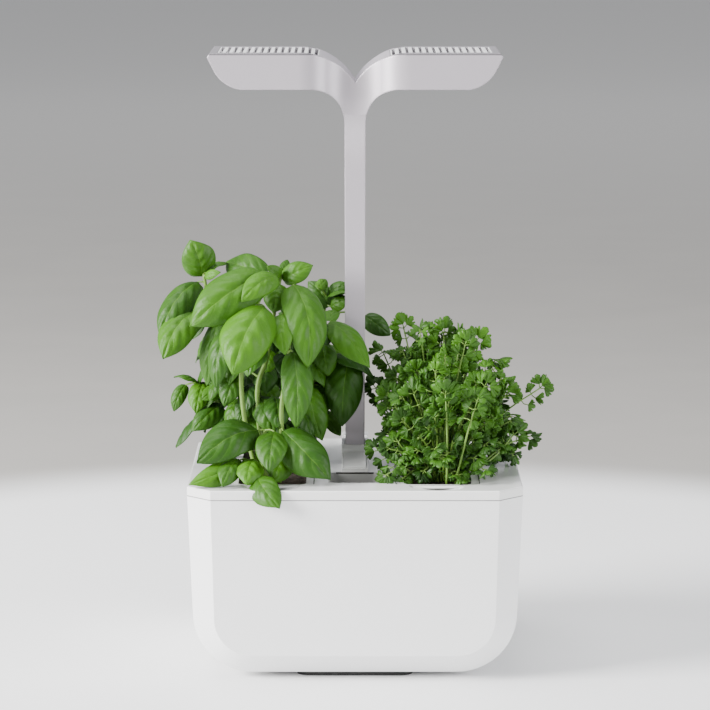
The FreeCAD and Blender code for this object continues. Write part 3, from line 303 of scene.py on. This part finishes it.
plain_white = moulded_white("plain_white", linear(236, 236, 233), 0.2, 0.4, 0.15, 0.0005)
wear(["lamp_socket", "power_key", "control_box", "cover_left", "cover_right"], plain_white)
guide_grey = moulded_white("guide_grey", linear(150, 150, 146), 0.4, 0.0, 0.3, 0.0003)
wear(["float_guide"], guide_grey)

# Foot pad: one rounded pad of black rubber with a fine moulded grain, pressed into place under
# the middle of the tub, where it lifts the tub a few millimetres off the table.

pad_rubber = Finish("pad_rubber", IOR=1.45)
pad_rubber.set("Base Color", pad_rubber.mix(pad_rubber.noise(120.0), linear(38, 38, 38), linear(52, 51, 50)))
pad_rubber.set("Roughness", pad_rubber.noise(300.0) * 0.2 + 0.6)
pad_rubber.set("Normal", pad_rubber.bump(pad_rubber.noise(2500.0), 0.00005, 0.6))
wear(["base_pad"], pad_rubber)

# Small inner parts: black connectors, plated pins and screws, green board laminate, a foam float,
# and the cartridges with their felt wicks. Most are hidden until something is lifted out.

def plain_finish(name, dark, light, roughness, metallic=0.0, scale=200.0, relief=0.00003):
    """A plain surface that clouds between two tones, with a finer grain in its relief."""
    finish = Finish(name, Metallic=metallic)
    cloud = finish.noise(scale)
    finish.set("Base Color", finish.mix(cloud, dark, light))
    finish.set("Roughness", cloud * 0.15 + roughness)
    finish.set("Normal", finish.bump(finish.noise(scale * 8), relief, 0.5))
    return finish


black_plastic = plain_finish("black_plastic", linear(24, 24, 25), linear(38, 38, 39), 0.42)
plated_brass = plain_finish("plated_brass", linear(196, 160, 92), linear(224, 190, 120), 0.25, 1.0)
plated_steel = plain_finish("plated_steel", linear(170, 170, 172), linear(200, 200, 202), 0.28, 1.0)
laminate = plain_finish("board_green", linear(18, 74, 40), linear(28, 96, 52), 0.45)
foam = plain_finish("float_foam", linear(214, 214, 208), linear(230, 230, 225), 0.8, 0.0, 500.0, 0.0001)
cartridge_black = plain_finish("cartridge_black", linear(40, 38, 36), linear(56, 54, 50), 0.6)
felt = plain_finish("wick_felt", linear(196, 192, 182), linear(226, 222, 212), 0.95, 0.0, 900.0, 0.0004)
fin_metal = plain_finish("fin_metal", linear(190, 190, 194), linear(206, 206, 210), 0.35, 1.0)
source_yellow = plain_finish("source_yellow", linear(240, 226, 170), linear(250, 240, 200), 0.3)
lens_frost = plain_finish("lens_frost", linear(236, 236, 236), linear(246, 246, 246), 0.5)
wire_black = plain_finish("wire_black", linear(20, 20, 20), linear(32, 32, 32), 0.5)
wear(["contact_block", "power_inlet", "stem_plug"], black_plastic)
wear(["contact_pins"], plated_brass)
wear(["board_screws", "arm_screws"], plated_steel)
wear(["control_board", "lamp_board_left", "lamp_board_right"], laminate)
wear(["level_float"], foam)
wear(["cartridge_shell_left", "cartridge_shell_right"], cartridge_black)
wear(["wick_left", "wick_right"], felt)
wear(["heat_sink_left", "heat_sink_right"], fin_metal)
wear(["light_sources_left", "light_sources_right"], source_yellow)
wear(["lens_left", "lens_right"], lens_frost)
wear(["arm_harness"], wire_black)

# Lamp arm: two moulded shells, screwed together, in satin silver paint with a faint lilac cast.
# The roof is a darker grey, and a thin line of painted shade runs where it meets the front.

LAMP_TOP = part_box("arm_front_shell")[1].z
arm_silver = Finish("arm_silver", IOR=1.5)
arm_cloud = arm_silver.noise(14.0)
arm_z = arm_silver.axis("Z")
# Painted shade: a thin dark band just under the roof's edge.
arm_painted_shade_line = arm_silver.step(arm_z, LAMP_TOP - 0.0012, LAMP_TOP - 0.0008) * 0.9
arm_roof = arm_silver.step(arm_z, LAMP_TOP - 0.0004, LAMP_TOP - 0.0002)
arm_face = arm_silver.mix(arm_cloud, linear(184, 177, 185), linear(194, 188, 194))
arm_face_and_shade_line = arm_silver.mix(arm_painted_shade_line, arm_face, linear(104, 100, 105))
arm_silver.set("Base Color", arm_silver.mix(arm_roof, arm_face_and_shade_line, linear(150, 146, 151)))
arm_silver.set("Metallic", arm_cloud * 0.05 + 0.3)
arm_silver.set("Roughness", arm_silver.noise(80.0) * 0.06 + 0.34)
arm_round = arm_silver.node("Bevel", {"samples": 4}, Radius=0.0012)
arm_silver.set("Normal", arm_silver.bump(arm_silver.noise(2600.0, 2.0), 0.00001, 0.5, arm_round))
wear(["arm_front_shell", "arm_rear_shell"], arm_silver)

# Vent covers: thin slotted plates of moulded plastic, let into the roof of each wing above its
# heat sink. The band of bars between the slots is painted pale, a painted highlight of the bars catching the
# light, and the plain ends of the plate are grey.

BARS_REACH = 0.0252
STEM_Y = 0.5 * (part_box("arm_front_shell")[0].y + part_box("arm_rear_shell")[1].y)
vent_grey = Finish("vent_grey", Roughness=0.36)
# Painted highlight: the slotted band is painted pale.
bars_painted_highlight = 1 - vent_grey.step(abs(vent_grey.axis("Y") - STEM_Y), BARS_REACH, BARS_REACH + 0.0004)
plate_end = vent_grey.mix(vent_grey.noise(200.0), linear(144, 140, 145), linear(156, 152, 157))
vent_grey.set("Base Color", vent_grey.mix(bars_painted_highlight, plate_end, linear(236, 235, 236)))
vent_grey.set("Normal", vent_grey.bump(vent_grey.noise(1600.0), 0.00003, 0.5))
wear(["vent_cover_left", "vent_cover_right"], vent_grey)

# Growing medium: dark damp peat-like crumbs that fill each cartridge to its rim, poured in and
# levelled by hand. The plants' stems come up through it.

crumb = Finish("growing_medium", Roughness=0.9)
crumb.set("Base Color", crumb.mix(crumb.noise(420.0, 6.0) ** 2.2, linear(26, 20, 15), linear(92, 74, 56)))
crumb.set("Normal", crumb.bump(crumb.noise(700.0, 6.0), 0.0012, 1.0))
CRUMB_HEIGHT, CRUMB_SINK, RIM_SINK = 0.0011, 0.0006, 0.001
BED_ROWS, BED_COLUMNS = 150, 56


def soil_bed(side):
    """The bed's top is a height field: random heights, averaged twice with their four neighbours, held
    under a limit. Its rim is level, and straight sides join it to a flat underside."""
    low, high = (np.array(corner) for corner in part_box(f"substrate_{side}"))
    y, x = np.meshgrid(np.linspace(low[1], high[1], BED_ROWS), np.linspace(low[0], high[0], BED_COLUMNS),
                       indexing="ij")
    rough = np.random.default_rng(5).normal(0, 1, (BED_ROWS, BED_COLUMNS))
    for _ in range(2):
        rough = (rough + np.roll(rough, 1, 0) + np.roll(rough, -1, 0) + np.roll(rough, 1, 1)
                 + np.roll(rough, -1, 1)) / 5
    z = high[2] - CRUMB_SINK + np.clip(rough, -1, 1) * CRUMB_HEIGHT
    rim = np.zeros_like(z, bool)
    rim[[0, -1], :] = True
    rim[:, [0, -1]] = True
    top = np.stack([x, y, np.where(rim, high[2] - RIM_SINK, z)], 2).reshape(-1, 3)
    base = top.copy()
    base[:, 2] = low[2]
    total = BED_ROWS * BED_COLUMNS
    under = grid_faces(BED_ROWS, BED_COLUMNS, total)[:, ::-1]
    edge = np.concatenate([np.arange(BED_COLUMNS), np.arange(2, BED_ROWS + 1) * BED_COLUMNS - 1,
                           total - 2 - np.arange(BED_COLUMNS - 1),
                           np.arange(BED_ROWS - 2, 0, -1) * BED_COLUMNS])
    after = np.roll(edge, -1)
    wall = np.stack([edge, edge + total, after + total, after], 1)
    faces = np.concatenate([grid_faces(BED_ROWS, BED_COLUMNS), under, wall])
    bed = mesh_object(f"soil_{side}", np.concatenate([top, base]), faces)
    bed.data.materials.append(crumb.material)
    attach(bed, f"{side}_cartridge")
    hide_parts(f"substrate_{side}")


for bed_side in ("left", "right"):
    soil_bed(bed_side)

# Basil: soft stems from the left cartridge, and broad glossy blades on short stalks, which cup
# downwards and quilt between their veins. The leaves that show in front are placed one by one,
# in millimetres, and the crown behind them is filled by rule.

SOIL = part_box("substrate_left")[1].z / MM
BASIL_STEMS = [
    [(-58, -42, SOIL), (-66, -42, 150), (-68, -42, 184), (-60, -36, 215), (-54, -28, 236)],
    [(-54, -40, SOIL), (-59, -34, 166), (-53, -30, 189), (-48, -24, 220), (-45, -15, 236)],
    [(-46, -48, SOIL), (-44, -47, 135), (-44, -46, 162), (-40, -40, 190), (-38, -28, 229)],
    [(-56, 0, SOIL), (-70, -6, 160), (-86, -8, 200), (-92, -9, 237)],
    [(-44, 8, SOIL), (-30, 0, 160), (-19, -8, 181), (-15, -6, 206)],
    [(-44, 36, SOIL), (-30, 32, 170), (-17, 29, 216)],
    [(-58, 4, SOIL), (-80, -6, 150), (-94, -6, 168)],
    [(-56, -46, SOIL), (-54, -50, 147)],
    [(-62, -50, SOIL), (-63, -58, 130)],
    [(-60, 40, SOIL), (-72, 46, 165), (-78, 50, 204)],
    [(-50, 44, SOIL), (-44, 54, 160), (-40, 58, 196)],
]
# Each leaf: root, tip, width, how far it cups, and its turn to the right in degrees.
BASIL_LEAVES = [
    ((-93, -8, 235), (-99, -14, 257), 22, 0.5, 0),
    ((-90, -10, 237), (-86, -6, 244), 7, 0.4, 0),
    ((-91, -14, 236), (-82, -22, 239), 6, 0.4, 0),
    ((-96, -8, 231), (-118, -34, 203), 21, 0.7, -20),
    ((-95, -20, 215), (-115, -48, 192), 24, 0.7, -15),
    ((-55, -30, 239), (-98, -52, 212), 30, 0.6, 0),
    ((-54, -16, 237), (-80, 4, 243), 20, 0.6, 0),
    ((-47, -34, 238), (-67, -52, 227), 16, 0.5, 0),
    ((-45, -16, 235), (-52, -26, 243), 9, 0.4, 0),
    ((-44, -16, 234), (-26, -20, 243), 14, 0.5, 0),
    ((-45, -14, 237), (-41, -8, 245), 6, 0.4, 0),
    ((-37, -26, 232), (-27, -56, 188), 27, 0.7, 15),
    ((-46, -22, 232), (-49, -30, 216), 16, 0.6, 0),
    ((-54, -44, 221), (-72, -74, 187), 33, 0.6, 0),
    ((-73, -40, 209), (-84, -56, 175), 17, 0.8, -25),
    ((-83, -24, 209), (-90, -38, 173), 17, 0.7, -15),
    ((-44, -40, 216), (-42, -56, 195), 14, 0.6, 0),
    ((-39, -30, 202), (-28, -38, 186), 13, 0.6, 0),
    ((-37, -44, 194), (-35, -64, 152), 20, 0.6, 0),
    ((-16, 28, 211), (-29, 34, 226), 13, 0.4, 0),
    ((-16, 30, 220), (-4, 24, 225), 9, 0.4, 0),
    ((-15, 26, 211), (-4, 20, 217), 10, 0.4, 0),
    ((-15, -8, 207), (9, -36, 185), 20, 0.8, 25),
    ((6, 34, 204), (22, 30, 193), 13, 0.5, 0),
    ((-23, 24, 223), (-18, 30, 228), 7, 0.4, 0),
    ((-15, 0, 191), (-10, -10, 163), 17, 0.6, 0),
    ((-4, -9, 184), (-8, -22, 145), 24, 0.6, 0),
    ((-21, 4, 165), (-23, 0, 145), 17, 0.6, 0),
    ((-20, -10, 194), (-16, -20, 176), 16, 0.6, 0),
    ((-104, -4, 167), (-111, -10, 152), 9, 0.5, 0),
    ((-93, -6, 169), (-97, -20, 153), 14, 0.6, 0),
    ((-82, -10, 156), (-99, -26, 143), 15, 0.6, -10),
    ((-72, -24, 179), (-79, -36, 160), 15, 0.6, 0),
    ((-82, -12, 166), (-93, -20, 161), 10, 0.5, 0),
    ((-58, -50, 147), (-93, -76, 134), 26, 0.6, -10),
    ((-48, -54, 147), (-51, -78, 129), 20, 0.6, 0),
    ((-43, -52, 147), (-15, -73, 123), 27, 0.6, 10),
    ((-41, -52, 134), (-48, -68, 120), 18, 0.6, 0),
    ((-67, -58, 128), (-97, -80, 121), 15, 0.6, 0),
    ((-69, -60, 131), (-78, -82, 121), 15, 0.6, 0),
    ((-60, -60, 131), (-64, -82, 122), 18, 0.6, 0),
    ((-58, -72, 123), (-45, -95, 110), 18, 0.7, 0),
    ((-57, -30, 164), (-49, -46, 145), 18, 0.6, 0),
    ((-64, -20, 162), (-71, -30, 149), 12, 0.6, 0),
    ((-29, -20, 168), (-20, -32, 138), 18, 0.6, 0),
    ((-49, -20, 192), (-54, -26, 178), 11, 0.6, 0),
    ((-55, -10, 168), (-48, -16, 159), 12, 0.6, 0),
    ((-21, 30, 144), (-9, 26, 130), 10, 0.6, 0),
]


def smooth_path(points, count):
    """Points along a Catmull-Rom curve through the given ones, evenly in the curve's own parameter."""
    knots = np.asarray(points, float)
    padded = np.concatenate([[2 * knots[0] - knots[1]], knots, [2 * knots[-1] - knots[-2]]])
    place = np.linspace(0, len(knots) - 1, count)
    span = np.minimum(place.astype(int), len(knots) - 2)
    t = (place - span)[:, None]
    one, two, three, four = (padded[span + shift] for shift in range(4))
    return 0.5 * (2 * two + (three - one) * t + (2 * one - 5 * two + 4 * three - four) * t ** 2
                  + (3 * two - one - 3 * three + four) * t ** 3)


def tube(path, radii, sides=10):
    """A tube's points and faces: rings square to the path, closed by a point at each end."""
    path = np.asarray(path, float)
    along = np.gradient(path, axis=0)
    along /= np.linalg.norm(along, axis=1)[:, None]
    first = np.cross(along, (0.13, 0.97, 0.2))
    first /= np.linalg.norm(first, axis=1)[:, None]
    second = np.cross(along, first)
    turn = np.linspace(0, 2 * math.pi, sides, endpoint=False)
    rings = first[:, None] * np.cos(turn)[None, :, None] + second[:, None] * np.sin(turn)[None, :, None]
    points = (path[:, None] + rings * np.asarray(radii)[:, None, None]).reshape(-1, 3)
    here = np.arange(sides)
    after = (here + 1) % sides
    last, low = (len(path) - 1) * sides, len(path) * sides
    low_cap = np.stack([np.full(sides, low), after, here], 1)
    high_cap = np.stack([np.full(sides, low + 1), last + here, last + after], 1)
    faces = grid_faces(len(path), sides, closed=True)
    return np.concatenate([points, path[[0, -1]]]), faces.tolist() + low_cap.tolist() + high_cap.tolist()


class Batch:
    """Gathers many small surfaces into one mesh, each with its own tone for the material to read."""

    def __init__(self):
        self.points, self.faces, self.uv, self.tone = [], [], [], []
        self.count = 0

    def add(self, points, faces, uv=None, tone=0.5):
        """One more surface; without UVs it gets a single UV point."""
        self.points.append(points)
        self.faces += [[corner + self.count for corner in face] for face in faces]
        self.uv.append(np.zeros((len(points), 2)) if uv is None else uv)
        self.tone.append(np.full(len(points), tone))
        self.count += len(points)

    def make(self, name, finish, body, slot, thickness=0.0):
        """The finished object on its body, with its surfaces thickened where a thickness is given."""
        thing = mesh_object(name, np.concatenate(self.points), self.faces, np.concatenate(self.uv))
        tone = thing.data.attributes.new("tone", "FLOAT", "POINT")
        tone.data.foreach_set("value", np.concatenate(self.tone).astype(np.float32))
        thing.data.materials.append(finish.material)
        if thickness:
            solid = thing.modifiers.new("thickness", "SOLIDIFY")
            solid.thickness = thickness
            solid.offset = 0
        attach(thing, body)
        return thing


LEAF_ROWS, LEAF_COLUMNS = 30, 23
SIDE_VEINS, VEIN_SLANT, VEIN_BOW = 4.6, 1.7, 1.15


def basil_blade(root, tip, width, cup, turn, phase):
    """A cupped oval blade. Down its length u, the midrib arches from root to tip as a parabola. Across
    it, v from -1 to 1, the surface bends down as an arc, folds in at the midrib, swells as a raised
    cosine between the slanting side veins, and waves at its edges as a sine of u."""
    root, tip = np.array(root, float), np.array(tip, float)
    along = tip - root
    length = np.linalg.norm(along)
    along /= length
    facing = np.array([math.sin(math.radians(turn)), -math.cos(math.radians(turn)), 0.45])
    normal = facing - along * (facing @ along)
    normal /= np.linalg.norm(normal)
    across = np.cross(along, normal)
    u, v = np.meshgrid(np.linspace(0, 1, LEAF_ROWS), np.linspace(-1, 1, LEAF_COLUMNS), indexing="ij")
    arch = 0.17 * length * (1 - (2 * u - 0.8) ** 2 - 0.36 * (1 - u))
    half = 0.46 * width * np.clip(1 - np.abs(2 * u ** 0.84 - 1) ** 2.2, 0, 1) ** (0.5 + 0.55 * u) + 0.3
    bend = 1.65 * cup * (0.75 + 0.25 * math.sin(phase))
    reach = half * np.sin(bend * v) / math.sin(bend)
    fall = -half * (1 - np.cos(bend * v)) / math.sin(bend)
    fold = -0.035 * width * np.exp(-(v / 0.13) ** 2) * np.sin(np.pi * u) ** 0.5
    slant = SIDE_VEINS * u - VEIN_SLANT * np.abs(v) ** VEIN_BOW + 0.2 * math.sin(phase)
    swell = 0.034 * width * (0.5 - 0.5 * np.cos(2 * np.pi * slant)) * (1 - v ** 4) * np.sin(np.pi * u) ** 0.5
    side_phase = np.where(v > 0, phase, 1.7 * phase + 1)
    wave = 0.045 * width * np.sin(2 * np.pi * 1.3 * u + side_phase) * np.abs(v) ** 1.5
    sway = 0.05 * length * math.sin(phase * 1.3) * np.sin(np.pi * u)
    height = arch + fall + fold + swell + wave
    points = (root + along * (u * length)[..., None] + across * (reach + sway)[..., None]
              + normal * height[..., None])
    return points.reshape(-1, 3) * MM, np.stack([u.ravel(), v.ravel() * 0.5 + 0.5], 1)


def leaf_green(name, dark, light, vein, roughness, veins):
    """A leaf's finish: mottled green by its tone, with a paler midrib and side veins pressed in."""
    finish = Finish(name, IOR=1.48, Specular_IOR_Level=0.3)
    uv_map = finish.node("UVMap", {"uv_map": "UVMap"})
    down = finish.node("SeparateXYZ", Vector=uv_map, output="X")
    across = finish.node("SeparateXYZ", Vector=uv_map, output="Y")
    tone = finish.node("Attribute", {"attribute_name": "tone"}, output="Fac")
    offset = abs(across * 2 - 1)
    rib = 1 - finish.step(offset, 0.012, 0.04)
    branch = (down * SIDE_VEINS - offset ** VEIN_BOW * VEIN_SLANT).math("FRACT")
    branch_rib = 1 - finish.step(abs(branch - 0.04), 0.01, 0.06)
    lines = (rib * 0.8 + branch_rib * 0.3).math("MINIMUM", 1.0) * veins
    mottled = (finish.noise(55.0, 4.0) * 0.35 + tone * 0.8 - 0.1).math("MINIMUM", 1.0)
    finish.set("Base Color", finish.mix(lines * 0.6, finish.mix(mottled, dark, light), vein))
    finish.set("Roughness", finish.noise(180.0) * 0.14 + roughness)
    quilt = finish.noise(260.0) * 1.4 - lines * 0.8
    finish.set("Normal", finish.bump(quilt, 0.0006, 0.6))
    return finish


basil_green = leaf_green("basil_green", linear(14, 50, 4), linear(72, 124, 14), linear(100, 148, 36),
                         0.42, 0.5)
stem_green = plain_finish("stem_green", linear(74, 112, 30), linear(116, 150, 60), 0.42)
basil_rng = np.random.default_rng(11)
foliage = Batch()


def add_blade(root, tip, width, cup, turn, palest, darkest=0.0):
    """One blade with a random wave, and a random tone between the two given."""
    blade, uv = basil_blade(root, tip, width, cup, turn, basil_rng.uniform(0, 6.28))
    foliage.add(blade, grid_faces(LEAF_ROWS, LEAF_COLUMNS), uv, basil_rng.uniform(darkest, palest))


for root, tip, width, cup, turn in BASIL_LEAVES:
    add_blade(root, tip, width, cup, turn, 1.0, 0.2)

PAIR_SAMPLES, PAIR_DROP, PAIR_LENGTH, PAIR_WIDTH = 40, 9, 30, 19


def outward_pairs(stem, levels, start):
    """Pairs of blades at a stem's upper joints, each pair turned a quarter from the last and hanging
    lower than it. The topmost pair is smaller and rises."""
    path = smooth_path(stem, PAIR_SAMPLES)
    for level in range(levels):
        place = path[PAIR_SAMPLES - 1 - level * PAIR_DROP]
        share = 1.0 if level else 0.55
        drop = -0.25 - 0.225 * level if level else 0.35
        for half in (0, math.pi):
            heading = start + level * math.pi / 2 + half
            reach = np.array([math.cos(heading), math.sin(heading), drop]) * PAIR_LENGTH * share
            yield place + reach * 0.12, place + reach, PAIR_WIDTH * share, heading


# Painted shade: the pairs and filling leaves inside the crown draw darker tones than the leaves placed in
# front.
# Pairs that would come out in front stay off, where the placed leaves are.
FRONT_LIMIT = -12
for index, stem in enumerate(BASIL_STEMS[3:7] + BASIL_STEMS[9:]):
    for root, tip, width, heading in outward_pairs(stem, 3, 0.6 + index * 0.9):
        if tip[1] >= FRONT_LIMIT:
            turn = math.degrees(math.atan2(math.cos(heading), -math.sin(heading)))
            add_blade(root, tip, width, 0.6, turn, 0.7)

# The crown's filling leaves stand round its middle, a golden angle apart and ever higher, in the darkest
# tones, painted shade inside the crown.
FILLER_LEAVES, GOLDEN_ANGLE, STEM_ROOM = 70, 2.399963, 12
for index in range(FILLER_LEAVES):
    angle = index * GOLDEN_ANGLE
    share = (index + 0.5) / FILLER_LEAVES
    middle = np.array([-54 + 34 * math.cos(angle) * (0.4 + 0.6 * share ** 0.5),
                       2 + 38 * math.sin(angle) * (0.3 + 0.7 * basil_rng.uniform()), 135 + 88 * share])
    out = np.array([math.cos(angle), math.sin(angle) - 0.35, -0.8 - 0.5 * basil_rng.uniform()])
    out *= basil_rng.uniform(18, 27) / np.linalg.norm(out)
    if middle[0] + out[0] > -STEM_ROOM:
        continue
    turn = math.degrees(math.atan2(math.cos(angle), max(-math.sin(angle), 0.15)))
    add_blade(middle, middle + out, basil_rng.uniform(13, 20), 0.6, turn, 0.5)

basil_leaves = foliage.make("basil_leaves", basil_green, "left_cartridge", "basil_leaf", 0.0004)
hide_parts("basil_plant")

# Each placed leaf gets a bowed stalk from the nearest stem below it, unless that is too far off.
STEM_RADII, STALK_RADII, STALK_LIMIT = (1.75, 1.0), (0.75, 0.5), 48
STEM_SAMPLES, STALK_SAMPLES = 36, 12
stalks = Batch()
stem_paths = [smooth_path(stem, STEM_SAMPLES) for stem in BASIL_STEMS]
for path in stem_paths:
    stalks.add(*tube(path * MM, np.linspace(*STEM_RADII, STEM_SAMPLES) * MM))
stem_points = np.concatenate(stem_paths)
for root, tip, width, cup, turn in BASIL_LEAVES:
    root = np.array(root, float)
    below = stem_points[stem_points[:, 2] < root[2] + 1]
    gap = np.linalg.norm(below - root, axis=1)
    if gap.min() <= STALK_LIMIT:
        nearest = below[gap.argmin()]
        bow = 0.5 * (root + nearest) + np.array([0, 0, 0.12 * gap.min()])
        path = smooth_path([nearest, bow, root], STALK_SAMPLES)
        stalks.add(*tube(path * MM, np.linspace(*STALK_RADII, STALK_SAMPLES) * MM, 8))
basil_stems = stalks.make("basil_stems", stem_green, "left_cartridge", "basil_leaf")
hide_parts("basil_plant")

# Parsley: thin wiry stems that fan out of the right cartridge, each with a compound leaf of
# toothed three-lobed leaflets. The fronds that show clearly are placed one by one, in
# millimetres, and a dome of others fills the plant.

parsley_green = leaf_green("parsley_green", linear(12, 42, 4), linear(74, 126, 20), linear(88, 140, 36),
                           0.42, 0.2)
FAN_ROWS, FAN_COLUMNS, FAN_HALF = 5, 33, 1.45
# Each frond: its stem's foot on the soil, bend and tip, the leaf's span, and its turn in degrees.
PARSLEY_FRONDS = [
    ((46, -20), (38, -6, 165), (30, 10, 200), 13, -20),
    ((48, -10), (46, -4, 168), (42, 0, 198), 13, 0),
    ((52, -20), (54, -16, 170), (54, -10, 200), 13, 0),
    ((54, -24), (60, -16, 168), (64, -10, 196), 14, 10),
    ((54, -10), (66, -6, 166), (74, 0, 193), 14, 10),
    ((56, 0), (76, 0, 160), (86, 0, 182), 14, 25),
    ((62, -14), (88, -12, 148), (113, -10, 166), 12, 30),
    ((62, -50), (84, -44, 130), (96, -32, 141), 14, 25),
    ((64, -46), (88, -38, 134), (104, -30, 139), 12, 40),
    ((40, -44), (24, -42, 126), (14, -40, 133), 12, -30),
    ((42, -46), (34, -46, 128), (26, -45, 139), 14, -10),
    ((44, -30), (30, -30, 148), (21, -30, 164), 14, -15),
    ((56, -44), (70, -42, 152), (78, -40, 172), 14, 10),
    ((55, -56), (55, -58, 145), (54, -56, 170), 14, 0),
    ((60, -54), (67, -58, 146), (73, -56, 166), 13, 5),
    ((44, 20), (28, 20, 158), (18, 20, 182), 13, -20),
    ((44, 12), (22, 12, 144), (13, 12, 162), 12, -30),
    ((60, 0), (80, 0, 146), (93, 0, 160), 13, 30),
]
# Each leaflet: steps back down the stem, how far it points ahead and sideways, and its share of the span.
LEAFLETS = [
    (0.0, 1.0, 0.0, 0.62), (0.0, 0.55, 0.9, 0.52), (0.0, 0.55, -0.9, 0.52), (0.55, 0.35, 1.0, 0.5),
    (0.55, 0.35, -1.0, 0.5), (1.15, 0.1, 1.0, 0.42), (1.15, 0.1, -1.0, 0.42),
]


def lobed_outline(angle):
    """Reach of a leaflet's edge at each angle from its middle: three lobes with deep cuts between
    them, each rim scalloped into a few rounded teeth."""
    cut = np.minimum(np.abs(np.abs(angle) - 0.52) / 0.16, 1) ** 0.6
    lobes = 0.45 + 0.55 * cut
    teeth = 0.84 + 0.16 * np.abs(np.cos(5.2 * angle)) ** 0.6
    return lobes * teeth * (1 - 0.16 * (angle / FAN_HALF) ** 2)


def leaflet(base, along, normal, size, curl, phase):
    """A fan of rays from the base to the lobed edge. Its height is a curl that grows as the square of
    the way out, less a droop that does too, and a crinkle as a sine of the angle."""
    across = np.cross(along, normal)
    out, angle = np.meshgrid(np.linspace(0, 1, FAN_ROWS), np.linspace(-FAN_HALF, FAN_HALF, FAN_COLUMNS),
                             indexing="ij")
    reach = size * out * lobed_outline(angle)
    lift = size * (curl * out ** 2 * np.cos(2.2 * angle) + 0.07 * out * np.sin(5 * angle + phase)
                   - 0.30 * out ** 2)
    points = (base + along * (reach * np.cos(angle * 0.85))[..., None]
              + across * (reach * np.sin(angle * 0.85))[..., None] + normal * lift[..., None])
    return points.reshape(-1, 3), np.stack([out.ravel(), angle.ravel() / (2 * FAN_HALF) + 0.5], 1)


herb, herb_stems = Batch(), Batch()
herb_rng = np.random.default_rng(23)


def frond(foot, bend, tip, span, turn):
    """A stem from its foot to the tip, and seven leaflets round it: one ahead, two pairs beside it
    on their own stalks, and a lower pair."""
    tip = np.array(tip, float)
    path = smooth_path([foot, bend, tip], 20)
    herb_stems.add(*tube(path * MM, np.linspace(0.75, 0.42, 20) * MM, 6))
    rising = path[-1] - path[-4]
    rising /= np.linalg.norm(rising)
    tilt = math.radians(turn + herb_rng.normal(0, 25))
    facing = np.array([math.sin(tilt), -math.cos(tilt), 0.7 + herb_rng.uniform(0, 0.9)])
    ahead = rising + herb_rng.normal(0, 0.25, 3) + np.array([0, 0, -0.2])
    ahead /= np.linalg.norm(ahead)
    normal = facing - ahead * (facing @ ahead)
    normal /= np.linalg.norm(normal)
    across = np.cross(ahead, normal)
    # Painted shade: a frond's tone grows paler with its tip's height, so the low fronds inside the plant are
    # darker.
    tone = herb_rng.uniform(0.0, 0.45) + 0.45 * np.clip((tip[2] - SOIL) / 80, 0, 1)
    for back, forward, sideways, share in LEAFLETS:
        direction = (ahead * (forward + herb_rng.normal(0, 0.15)) + across * sideways
                     + normal * herb_rng.normal(0, 0.35))
        direction /= np.linalg.norm(direction)
        up = normal + herb_rng.normal(0, 0.35, 3)
        up -= direction * (up @ direction)
        up /= np.linalg.norm(up)
        base = tip - ahead * span * back
        start = base + direction * span * 0.22
        points, uv = leaflet(start, direction, up, span * share, herb_rng.uniform(-0.1, 0.3),
                             herb_rng.uniform(0, 6.28))
        herb.add(points * MM, grid_faces(FAN_ROWS, FAN_COLUMNS), uv, tone + herb_rng.uniform(-0.15, 0.25))
        herb_stems.add(*tube(smooth_path([base, start], 3) * MM, np.full(3, 0.32) * MM, 5))


for (foot_x, foot_y), bend, tip, span, turn in PARSLEY_FRONDS:
    frond((foot_x, foot_y, SOIL), bend, tip, span, turn)

# The dome: tips spread round the plant's middle and scattered in height under a rounded top.
DOME, DOME_RADIUS, DOME_Y = 120, 44, -14
for index in range(DOME):
    heading = index * GOLDEN_ANGLE
    share = (index + 0.5) / DOME
    spread = DOME_RADIUS * share ** 0.5
    depth = herb_rng.uniform(0, 1) ** 0.8
    left = max(-math.cos(heading), 0)
    tip = np.array([54 + spread * math.cos(heading) * (1 - 0.22 * left * (1.6 - depth)),
                    DOME_Y + 1.05 * spread * math.sin(heading),
                    SOIL + 6 + (82 - 50 * share ** 1.7) * depth])
    foot = (52 + 11 * math.cos(heading), DOME_Y + 26 * math.sin(heading), SOIL)
    outward = np.array([-3 * math.cos(heading), 0, 0.14 * (tip[2] - SOIL)])
    bend = tuple(0.5 * tip + 0.5 * np.array(foot) + outward)
    turn = math.degrees(math.atan2(math.cos(heading), max(-math.sin(heading), 0.3)))
    frond(foot, bend, tip, herb_rng.uniform(10, 13.5), turn * 0.7)

# Low fronds lean out over the front of the tray from left to right.
LOW_FRONDS = 16
for index in range(LOW_FRONDS):
    side = index / (LOW_FRONDS - 1)
    tip = (18 + 62 * side + herb_rng.uniform(-2, 2), -58 + herb_rng.uniform(-8, 8) + 10 * abs(side - 0.5),
           SOIL + herb_rng.uniform(3, 26))
    foot = (40 + 26 * side, -46, SOIL)
    bend = tuple(0.5 * (np.array(tip) + np.array(foot)) + np.array([0, 0, 6]))
    frond(foot, bend, tip, herb_rng.uniform(9, 12), 30 * side - 15)

parsley_leaves = herb.make("parsley_leaves", parsley_green, "right_cartridge", "parsley_leaf", 0.0003)
parsley_stems = herb_stems.make("parsley_stems", stem_green, "right_cartridge", "parsley_leaf")
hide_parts("parsley_plant")
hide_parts("parsley_plant")
